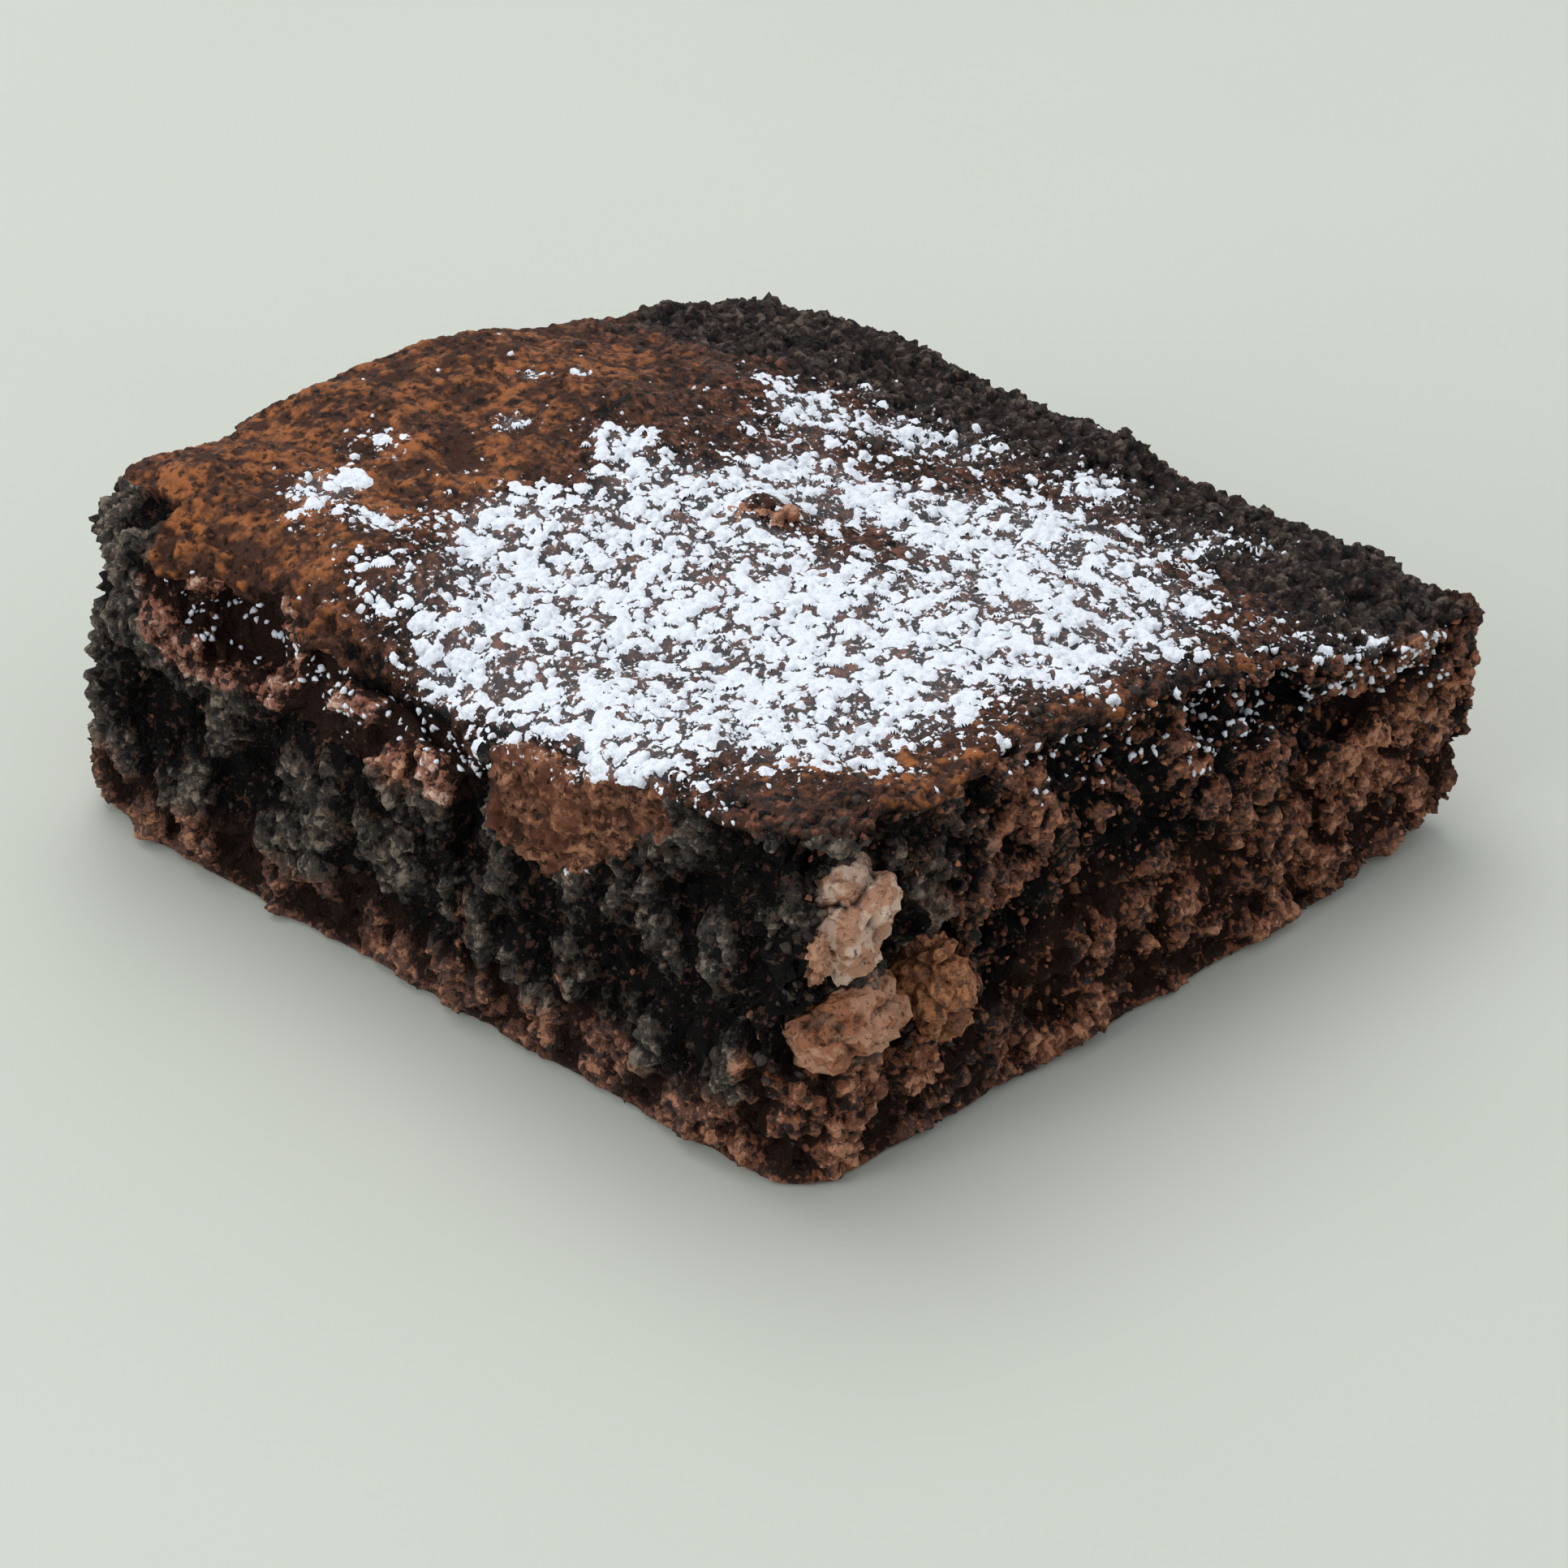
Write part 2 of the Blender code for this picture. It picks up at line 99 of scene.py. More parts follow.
# Where icing sugar fell: x, y, reach, strength
SUGAR_SPOTS = ((-24.0, 24.0, 2.8, 0.8), (-21.4, 23.3, 1.4, 0.7), (-24.5, 17.4, 1.7, 0.75),
               (-1.1, 25.2, 1.3, 0.9), (2.1, 23.2, 0.9, 0.8), (-7.8, 20.3, 1.8, 0.8),
               (-3.2, 13.7, 2.2, 0.85), (15.0, 11.9, 4.5, 0.6), (22.0, 13.0, 4.0, 0.3),
               (24.0, 1.0, 6.0, 0.5), (17.0, 18.0, 3.5, 0.25), (10.0, 5.0, 6.5, 0.4),
               (10.0, -3.0, 4.0, 0.4), (4.5, 2.5, 5.0, 0.6), (-4.0, -1.0, 4.0, 0.6),
               (-5.0, 7.0, 5.5, 0.75), (-16.8, 11.0, 5.2, 0.6), (-30.0, 11.0, 4.8, 0.4),
               (-31.0, 2.0, 4.5, 0.55), (-20.0, 4.0, 9.0, 0.75), (-12.0, -7.0, 9.5, 0.75),
               (-8.0, -17.5, 8.0, 0.85), (-16.0, -22.0, 7.0, 0.6), (4.0, -20.5, 8.0, 0.65),
               (17.0, -14.0, 8.0, 0.8), (10.0, -8.5, 6.0, 0.7), (16.0, -27.0, 6.0, 0.5),
               (-30.0, -8.0, 6.5, 0.75), (-25.0, -22.0, 6.0, 0.6), (-14.0, -29.5, 7.0, 0.45),
               (-27.0, -14.0, 5.5, 0.5), (0.0, -27.5, 5.5, 0.5), (8.0, -30.5, 5.0, 0.5),
               (20.5, -34.5, 3.5, 0.5), (25.6, -37.6, 1.8, 0.7), (-33.0, -20.6, 3.2, 0.5),
               (-24.0, -29.5, 5.0, 0.4), (-2.0, -31.0, 5.0, 0.45), (26.0, -20.0, 4.0, 0.45),
               (27.0, -9.0, 4.0, 0.5), (20.0, 6.5, 4.0, 0.45), (-33.5, -16.0, 3.5, 0.5),
               (-34.0, -26.0, 3.0, 0.4), (-27.0, 21.5, 3.5, 0.45), (-17.0, 25.5, 3.0, 0.4),
               (31.0, -22.0, 4.0, 0.35), (28.0, -32.0, 3.0, 0.4), (-4.0, -6.0, 27.0, 0.22))
# Where it is thinner
SUGAR_GAPS = ((4.0, -6.0, 2.2, 0.45), (-1.6, -0.6, 2.2, 0.7), (-10.0, 14.0, 3.0, 0.3),
              (-35.0, -12.0, 3.5, 0.25), (30.0, -30.0, 5.0, 0.2))

# Hollows, deep holes and grooves: x, y, z, reach across, reach in height, depth (below 0, a lump)
HOLLOWS = ((-34.2, 19.5, 21.6, 2.6, 2.0, 2.6), (-35.3, 22.8, 22.6, 1.8, 1.4, 1.6),
           (-35.4, 15.2, 21.8, 1.6, 1.3, 1.4), (-35.1, 7.5, 24.9, 1.5, 0.8, 1.7),
           (-35.0, 5.8, 24.2, 1.5, 0.8, 1.7), (-35.0, 4.2, 23.7, 1.5, 0.8, 1.7),
           (-35.2, 2.3, 23.2, 1.5, 0.8, 1.6), (-35.4, 0.4, 22.8, 1.5, 0.8, 1.6),
           (-35.9, -2.2, 22.8, 1.6, 0.8, 1.4), (-36.9, 26.9, 11.7, 1.3, 5.0, 1.6),
           (-35.8, 20.0, 12.2, 1.2, 5.0, 1.6), (-36.7, 8.0, 12.8, 1.4, 4.5, 1.8),
           (-36.2, -3.8, 14.5, 1.4, 5.0, 2.0), (-36.1, -12.2, 10.4, 1.3, 4.0, 1.8),
           (-33.7, -23.5, 19.5, 1.6, 3.5, 1.8), (-35.2, -28.4, 12.8, 1.3, 4.0, 1.6),
           (-36.2, 13.6, 9.5, 1.3, 4.0, 1.3), (-35.5, -18.5, 9.0, 1.2, 4.0, 1.4),
           (7.6, -37.4, 23.2, 2.6, 1.5, 2.6), (13.8, -36.2, 20.7, 2.6, 1.7, 2.8),
           (18.4, -36.8, 19.0, 1.8, 1.3, 2.0), (23.6, -37.0, 15.4, 2.6, 1.5, 2.4),
           (-3.1, -37.4, 23.6, 2.0, 1.5, 1.8), (5.2, -38.2, 10.7, 1.6, 2.0, 1.5),
           (-9.5, -37.4, 20.0, 1.6, 3.0, 1.5), (1.5, -38.0, 16.5, 1.5, 2.2, 1.4),
           (-14.5, -36.6, 13.0, 1.4, 3.0, 1.5), (17.0, -38.0, 10.0, 1.2, 5.0, 2.0),
           (-32.4, -34.6, 27.2, 3.2, 1.3, 1.8), (-13.5, 19.7, 28.6, 2.0, 2.0, 0.8),
           (-36.2, -5.0, 21.0, 1.7, 3.2, 1.3), (-32.8, -36.2, 21.0, 2.2, 3.0, 1.6),
           (-34.2, -14.6, 15.4, 1.5, 1.2, -1.4))
# Warm brown lumps and the tan ring of crumb round the walnuts: x, y, z, reach, strength
WARM_SPOTS = ((9.4, -38.3, 13.7, 3.0, 0.9), (6.0, -37.8, 21.0, 2.6, 0.8), (12.3, -38.5, 18.5, 2.6, 0.8),
              (20.2, -37.0, 5.5, 7.0, 1.1), (28.0, -37.4, 9.2, 6.0, 1.0), (31.5, -38.0, 12.0, 5.0, 0.9),
              (24.0, -37.5, 19.5, 4.0, 0.6), (5.0, -38.0, 4.0, 7.0, 0.8), (-9.0, -37.5, 3.5, 6.5, 0.7),
              (12.0, -38.0, 4.0, 7.0, 1.0), (-6.0, -37.8, 9.5, 6.0, 1.1), (1.5, -38.0, 6.0, 6.0, 1.1),
              (-36.3, 9.0, 20.0, 3.0, 0.7), (-36.0, 2.0, 19.5, 3.0, 0.6), (-31.0, -37.0, 3.0, 8.0, 1.3),
              (-17.8, -35.6, 13.0, 2.4, 1.0), (-17.6, -35.8, 9.6, 2.4, 1.0),
              (-20.3, -36.5, 7.6, 2.2, 1.0), (-23.5, -36.5, 6.2, 2.2, 1.0), (-27.0, -36.5, 6.3, 2.2, 1.0),
              (-31.5, -36.0, 8.3, 2.2, 0.9), (-34.6, -32.6, 10.5, 2.4, 0.6),
              (-34.2, -33.5, 19.5, 1.8, 0.7))

# Lower edge of the broken brown ledge along the dark face's top: y, height
LEDGE_Y = (-6.0, -4.0, -1.4, 2.8, 6.6, 11.2, 15.6, 21.3, 24.6, 27.3, 30.0)
LEDGE_Z = (21.5, 18.5, 19.5, 19.8, 19.3, 18.2, 19.9, 18.2, 18.6, 21.0, 24.0)

# Lower edge of the crust flap that folds over the dark face: y, height
FLAP_Y = (-23.2, -20.4, -18.6, -15.3, -13.6, -11.6, -9.8, -8.5, -7.6, -7.0)
FLAP_Z = (25.4, 23.6, 21.4, 18.8, 17.4, 16.3, 16.8, 18.2, 20.4, 23.0)

# Height of the ledge up to the crust, and of the sugar on it
LEDGE_TALL = 4.4
LEDGE_SUGAR = 3.6
# Most that sugar can cover
SUGAR_MOST = 0.86

# Floor, surround and the point that the lights aim at
FLOOR_HALF_WIDTH = 1.5
SURROUND_COLOUR = (0.92, 0.95, 1.0, 1.0)
SURROUND_STRENGTH = 0.75
LIGHTS_AIM_AT = Vector((0.0, 0.0, 0.015))


def srgb(red, green, blue):
    """Linear colour of an 8-bit sRGB one."""
    parts = (red / 255.0, green / 255.0, blue / 255.0)
    return (*[((c + 0.055) / 1.055) ** 2.4 if c > 0.04 else c / 12.92 for c in parts], 1.0)


# Surface colours: pigments, and the painted shade and painted highlights that the relief's hollows and
# raised grains take
ORANGE_CRUST = srgb(146, 88, 48)
RED_CRUST = srgb(90, 52, 37)
# Brown of the crust, and the painted shade in the flap's hollows
BROWN_CRUST = srgb(62, 38, 27)
BURNT_CRUST = srgb(42, 31, 26)
# Painted highlight on the burnt crust's raised grains
BURNT_HIGHLIGHT = srgb(88, 76, 68)
FLAP_BROWN = srgb(124, 83, 62)
# Painted highlight on the flap's raised folds and grains
FLAP_HIGHLIGHT = srgb(170, 122, 92)
# Painted shade in the crumb's pits, the crust's pores and the walnuts' cracks; the darkest tone of the
# loose crumbs
SHADE_AND_TONE_BLACK = srgb(9, 6, 5)
FUDGE_BLACK = srgb(58, 51, 44)
# Painted highlight on the dark face's raised grains
FUDGE_HIGHLIGHT = srgb(124, 111, 97)
FUDGE_FLECK = srgb(104, 72, 58)
# Brown of the open crumb and the loose crumbs, and the painted highlight on the brown crust's raised
# grains
CRUMB_BROWN = srgb(110, 69, 50)
# Painted highlight on the raised grains of the open crumb and of the band along the foot; the lightest
# tone of the loose crumbs
CRUMB_HIGHLIGHT_AND_TONE = srgb(176, 116, 82)
CRUMB_LOW = srgb(104, 66, 50)
# Painted shade in the pits of the red brown, warm and ledge crumb
BROWN_SHADE = srgb(38, 23, 17)
# The broken ledge's red brown, made lighter as painted light against the shade of its hollow, and its
# painted highlight on raised grains
LEDGE_LIT_RED = srgb(148, 98, 78)
LEDGE_HIGHLIGHT = srgb(208, 174, 154)
CRUMB_WARM = srgb(124, 76, 52)
# Painted highlight on the warm lumps' raised grains
WARM_HIGHLIGHT = srgb(184, 130, 98)
SUGAR_WHITE = srgb(232, 237, 243)
# Painted shade in the sugar's fine hollows
SUGAR_SHADE = srgb(214, 219, 228)
WALNUT_PALE = srgb(208, 178, 156)
WALNUT_TAN = srgb(178, 132, 104)
WALNUT_ORANGE = srgb(150, 96, 66)
WALNUT_DULL = srgb(182, 122, 80)
WALNUT_BROWN = srgb(132, 84, 54)
WALNUT_CREASE = srgb(56, 32, 22)
FLOOR_PALE = srgb(196, 199, 189)
FLOOR_SHADE = srgb(190, 194, 183)


class Tree:
    """Short ways to add nodes and links to a shader, geometry or group tree."""

    def __init__(self, tree):
        self.tree = tree

    def add(self, kind, inputs=None, **settings):
        node = self.tree.nodes.new(kind)
        for name, value in settings.items():
            setattr(node, name, value)
        for name, value in (inputs or {}).items():
            self.feed(node.inputs[name], value)
        return node

    def feed(self, socket, value):
        if isinstance(value, bpy.types.NodeSocket):
            self.tree.links.new(value, socket)
        else:
            socket.default_value = value

    def math(self, operation, a, b=0.0):
        return self.add("ShaderNodeMath", {0: a, 1: b}, operation=operation).outputs[0]

    def vector(self, operation, inputs):
        return self.add("ShaderNodeVectorMath", inputs, operation=operation).outputs[0]

    def times(self, a, b):
        return self.math("MULTIPLY", a, b)

    def minus(self, a, b):
        return self.math("SUBTRACT", a, b)

    def plus(self, first, *rest):
        for term in rest:
            first = self.math("ADD", first, term)
        return first

    def ramp(self, value, low, high, to_low=0.0, to_high=1.0):
        inputs = {"Value": value, "From Min": low, "From Max": high, "To Min": to_low, "To Max": to_high}
        return self.add("ShaderNodeMapRange", inputs, interpolation_type="SMOOTHSTEP").outputs[0]

    def noise(self, where, size, detail, rough=0.5):
        inputs = {"Vector": where, "Scale": self.scale(size), "Detail": detail, "Roughness": rough}
        return self.add("ShaderNodeTexNoise", inputs).outputs[0]

    def cells(self, where, size, soft):
        inputs = {"Vector": where, "Scale": self.scale(size), "Smoothness": soft}
        return self.add("ShaderNodeTexVoronoi", inputs, feature="SMOOTH_F1").outputs[0]

    def domes(self, where, size):
        """Rounded grains that meet in sharp creases."""
        inputs = {"Vector": where, "Scale": self.scale(size)}
        far = self.add("ShaderNodeTexVoronoi", inputs, feature="F1").outputs["Distance"]
        return self.minus(DOME_HEIGHT, self.times(self.times(far, far), DOME_STEEPNESS))

    def scale(self, size):
        if isinstance(size, bpy.types.NodeSocket):
            return self.math("DIVIDE", 1.0, size)
        return 1.0 / (size * MM)

    def mix(self, share, a, b):
        return self.add("ShaderNodeMix", {0: share, 6: a, 7: b}, data_type="RGBA").outputs[2]

    def shifted(self, where, seed):
        step = self.add("ShaderNodeCombineXYZ", {"X": seed, "Y": seed, "Z": seed}).outputs[0]
        return self.vector("ADD", {0: where, 1: step})

    def bent(self, where, size, reach):
        """The place pushed about by noise, so that cells lose their straight edges."""
        inputs = {"Vector": where, "Scale": self.scale(size), "Detail": 1.0}
        push = self.add("ShaderNodeTexNoise", inputs).outputs["Color"]
        push = self.vector("SUBTRACT", {0: push, 1: (0.5, 0.5, 0.5)})
        push = self.vector("SCALE", {0: push, "Scale": 2.0 * reach * MM})
        return self.vector("ADD", {0: where, 1: push})

    def stored(self, mesh, name, value):
        """Geometry with a value stored on its points under a name."""
        inputs = {"Geometry": mesh, "Name": name, "Value": value}
        return self.add("GeometryNodeStoreNamedAttribute", inputs, data_type="FLOAT",
                        domain="POINT").outputs[0]

    def pushed(self, mesh, height):
        """Geometry whose points are moved along their normals."""
        normal = self.add("GeometryNodeInputNormal").outputs[0]
        offset = self.vector("SCALE", {0: normal, "Scale": height})
        return self.add("GeometryNodeSetPosition", {"Geometry": mesh, "Offset": offset}).outputs[0]

    def painted(self, name):
        """A painted mask: a named attribute in a geometry tree, an Attribute node in a shader."""
        if self.tree.bl_idname == "GeometryNodeTree":
            return self.add("GeometryNodeInputNamedAttribute", {"Name": name},
                            data_type="FLOAT").outputs[0]
        return self.add("ShaderNodeAttribute", attribute_name=name).outputs["Fac"]


def geometry_tree(name, sockets):
    """A Geometry Nodes tree with a mesh in and out and named float inputs."""
    tree = bpy.data.node_groups.new(name, "GeometryNodeTree")
    tree.interface.new_socket("Mesh", in_out="INPUT", socket_type="NodeSocketGeometry")
    for label in sockets:
        tree.interface.new_socket(label, in_out="INPUT", socket_type="NodeSocketFloat")
    tree.interface.new_socket("Mesh", in_out="OUTPUT", socket_type="NodeSocketGeometry")
    made = Tree(tree)
    return made, made.add("NodeGroupInput").outputs, made.add("NodeGroupOutput")


def grown(source, name, tree, values):
    """The mesh that a Geometry Nodes tree makes from an object, as a new plain object."""
    modifier = source.modifiers.new(tree.name, "NODES")
    modifier.node_group = tree
    for item in tree.interface.items_tree:
        if item.in_out == "INPUT" and item.name in values:
            modifier[item.identifier] = values[item.name]
    mesh = applied(source)
    source.modifiers.remove(modifier)
    return new_piece(name, mesh)


def new_piece(name, mesh):
    """An object in the scene at the origin."""
    piece = bpy.data.objects.new(name, mesh)
    bpy.context.scene.collection.objects.link(piece)
    return piece


def applied(piece):
    """A piece's mesh as its modifiers leave it."""
    depsgraph = bpy.context.evaluated_depsgraph_get()
    return bpy.data.meshes.new_from_object(piece.evaluated_get(depsgraph))


def thin_out(piece, share):
    """Leaves a share of a piece's faces, taking the ones that its form needs least."""
    thin = piece.modifiers.new("fewer faces", "DECIMATE")
    thin.ratio = share
    mesh = applied(piece)
    piece.modifiers.remove(thin)
    piece.data = mesh


def ease(low, high, value):
    """0 up to low, 1 from high on, smooth in between; low may be the larger of the two."""
    share = np.clip((value - low) / (high - low), 0.0, 1.0)
    return share * share * (3.0 - 2.0 * share)


def spots(points, places):
    """Sum of rounded spots at the points' x and y."""
    total = np.zeros(len(points))
    for x, y, reach, strength in places:
        far = ((points[:, 0] - x) ** 2 + (points[:, 1] - y) ** 2) / reach ** 2
        total += strength * np.exp(-far)
    return total


def balls(points, places):
    """Sum of rounded spots in space, each with a reach across and a reach in height."""
    total = np.zeros(len(points))
    for x, y, z, across, upward, strength in places:
        far = ((points[:, 0] - x) ** 2 + (points[:, 1] - y) ** 2) / across ** 2
        far += (points[:, 2] - z) ** 2 / upward ** 2
        total += strength * np.exp(-far)
    return total


def read_points(mesh):
    """Vertex places in millimetres and their normals, as arrays."""
    places = np.empty(len(mesh.vertices) * 3)
    mesh.vertices.foreach_get("co", places)
    normals = np.empty(len(mesh.vertices) * 3)
    mesh.vertex_normals.foreach_get("vector", normals)
    return places.reshape(-1, 3) / MM, normals.reshape(-1, 3)


def paint(mesh, name, values):
    """Stores one number for each vertex under a name that the trees and materials read."""
    layer = mesh.attributes.new(name, "FLOAT", "POINT")
    layer.data.foreach_set("value", np.ascontiguousarray(values, dtype=np.float32))


def keep_in_box(mesh):
    """Holds a mesh inside the solids' box."""
    places = np.empty(len(mesh.vertices) * 3, dtype=np.float32)
    mesh.vertices.foreach_get("co", places)
    low, high = [np.array(corner, dtype=np.float32) for corner in CAD_BOX]
    held = np.clip(places.reshape(-1, 3), low, high)
    mesh.vertices.foreach_set("co", held.ravel())
    mesh.update()


def welded_copy(node, name):
    """A copy of a solid whose faces share their points."""
    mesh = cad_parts[node].data.copy()
    welder = bmesh.new()
    welder.from_mesh(mesh)
    bmesh.ops.remove_doubles(welder, verts=welder.verts, dist=WELD_WITHIN * MM)
    welder.to_mesh(mesh)
    welder.free()
    return new_piece(name, mesh)


def fine_copy(node):
    """A copy of a solid, rebuilt as a fine even mesh with its facets smoothed away."""
    rough = welded_copy(node, node + "_rough")
    remesh = rough.modifiers.new("even faces", "REMESH")
    remesh.mode = "VOXEL"
    remesh.voxel_size = VOXEL * MM
    smooth = rough.modifiers.new("no facets", "SMOOTH")
    smooth.factor = 0.5
    smooth.iterations = SMOOTHING_STEPS
    fine = applied(rough)
    bpy.data.objects.remove(rough)
    return new_piece(node + "_fine", fine)


def clear_of_walnuts(points):
    """0 at the walls of the walnuts' pockets, 1 well away from them."""
    clear = np.ones(len(points))
    for node in ("walnut_upper", "walnut_lower", "walnut_side"):
        nut, _ = read_points(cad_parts[node].data)
        low, high = nut.min(axis=0) - POCKET_REACH, nut.max(axis=0) + POCKET_REACH
        close = np.flatnonzero(np.all((points > low) & (points < high), axis=1))
        gap = np.array([np.sqrt(((nut - points[i]) ** 2).sum(axis=1).min()) for i in close])
        clear[close] = np.minimum(clear[close], ease(POCKET_WALL, POCKET_CLEAR, gap))
    return clear


def crust_edge(x):
    """Height of the crust's lower edge on the cut face with the walnuts."""
    return 24.2 - 0.19 * x


def ledge_edge(y):
    """Height of the ledge's lower edge on the dark face."""
    return np.interp(y, LEDGE_Y, LEDGE_Z)


def paint_masks(mesh):
    """Paints where the surface is crust, dark face, open crumb, sugar and so on."""
    at, facing = read_points(mesh)
    x, y, z = at.T
    # The flap, and the crust: what looks up, above the lip's lower edge
    ragged = 0.5 * np.sin(2.3 * y + 0.9 * z) + 0.3 * np.sin(5.1 * y - 1.7 * z)
    flap = ease(0.2, 0.6, -facing[:, 0]) * ease(-0.4, 0.4, z + ragged - np.interp(y, FLAP_Y, FLAP_Z))
    flap *= ease(-23.6, -22.8, y) * (1.0 - ease(-7.4, -6.8, y)) * ease(-30.0, -32.0, x)
    steepness = ease(-34.0, -36.5, y)
    top = ease(0.28 + 0.3 * steepness, 0.62 + 0.2 * steepness, facing[:, 2]) * ease(6.0, 10.0, z)
    top *= np.where(y < -33.0, ease(-0.8, 0.2, z - crust_edge(x)), 1.0)
    top *= np.where(x < -32.5, ease(-0.5, 0.5, z - ledge_edge(y) - LEDGE_TALL), 1.0)
    crust = np.maximum(top, flap)
    side = 1.0 - crust
    # The broken ledge, the cut faces with open crumb, and the red brown band along the foot
    ledge = 1.0 - ease(-35.0, -33.0, x)
    ledge *= ease(-6.0, -2.0, y) * (1.0 - ease(26.0, 30.0, y))
    ledge *= ease(-1.0, 0.6, z - ledge_edge(y))
    cut = np.maximum(ease(0.25, 0.65, -facing[:, 1]), ease(0.25, 0.65, facing[:, 0]))
    near_front_corner = np.exp(-(((x + 34.0) / 9.0) ** 2 + ((y + 36.0) / 9.0) ** 2))
    open_crumb = cut * (1.0 - 0.75 * near_front_corner) * (0.55 + 0.45 * ease(-26.0, 4.0, x))
    low = 1.0 - ease(3.0, 7.5, z + 0.8 * np.sin(y * 0.5) - 0.1 * np.clip(x, 0.0, 40.0))
    warm = balls(at, [(a, b, c, reach, reach, strength) for a, b, c, reach, strength in WARM_SPOTS])
    clear = clear_of_walnuts(at)
    paint(mesh, "clear", clear)
    paint(mesh, "rim", np.maximum(ease(-32.0, -35.0, y), ease(-31.5, -34.0, x)) * (1.0 - flap))
    paint(mesh, "turned_away", ease(-2.0, 2.0, x + y + 4.0))
    paint(mesh, "crust", crust)
    paint(mesh, "flap", flap)
    paint(mesh, "side", side)
    paint(mesh, "free", ease(0.05, 1.2, z))
    paint(mesh, "open_crumb", np.clip(open_crumb, 0.0, 1.0))
    paint(mesh, "open_fall", np.clip(open_crumb, 0.0, 1.0) * clear * side)
    paint(mesh, "dark_fall", clear * side)
    burnt = np.clip(spots(at, BURNT_SPOTS), 0.0, 1.0)
    paint(mesh, "burnt_fall", burnt * crust * ease(0.2, 0.6, facing[:, 2]))
    paint(mesh, "low_band", low * side)
    paint(mesh, "ledge", ledge * side)
    paint(mesh, "warm", np.clip(warm, 0.0, 1.0) * side)
    paint(mesh, "dent", -balls(at, HOLLOWS))
    paint(mesh, "burnt", burnt)
    # Sugar on the ledge and the lip, and on the top
    near_lip = np.exp(-((z - ledge_edge(y) - LEDGE_SUGAR) / 1.7) ** 2) * ease(-30.0, -33.0, x)
    near_lip *= ease(-8.0, -4.0, y) * (1.0 - ease(24.0, 28.0, y))
    near_rim = ease(-30.0, -34.0, y) * ease(-3.5, -1.0, z - crust_edge(x))
    near_rim *= ease(-16.0, -10.0, x) * (0.4 + 0.6 * ease(0.0, 8.0, x))
    paint(mesh, "lip_sugar", 0.9 * np.clip(near_lip + near_rim, 0.0, 1.0))
    sugar = spots(at, SUGAR_SPOTS) - spots(at, SUGAR_GAPS)
    edge_fade = ease(0.15, 0.55, facing[:, 2])
    paint(mesh, "sugar", np.clip(sugar, 0.0, SUGAR_MOST) * edge_fade * (1.0 - 0.7 * ledge))
    paint(mesh, "orange", np.clip(spots(at, ORANGE_SPOTS) - 0.6 * np.clip(sugar, 0.0, 1.0), -0.5, 1.0))


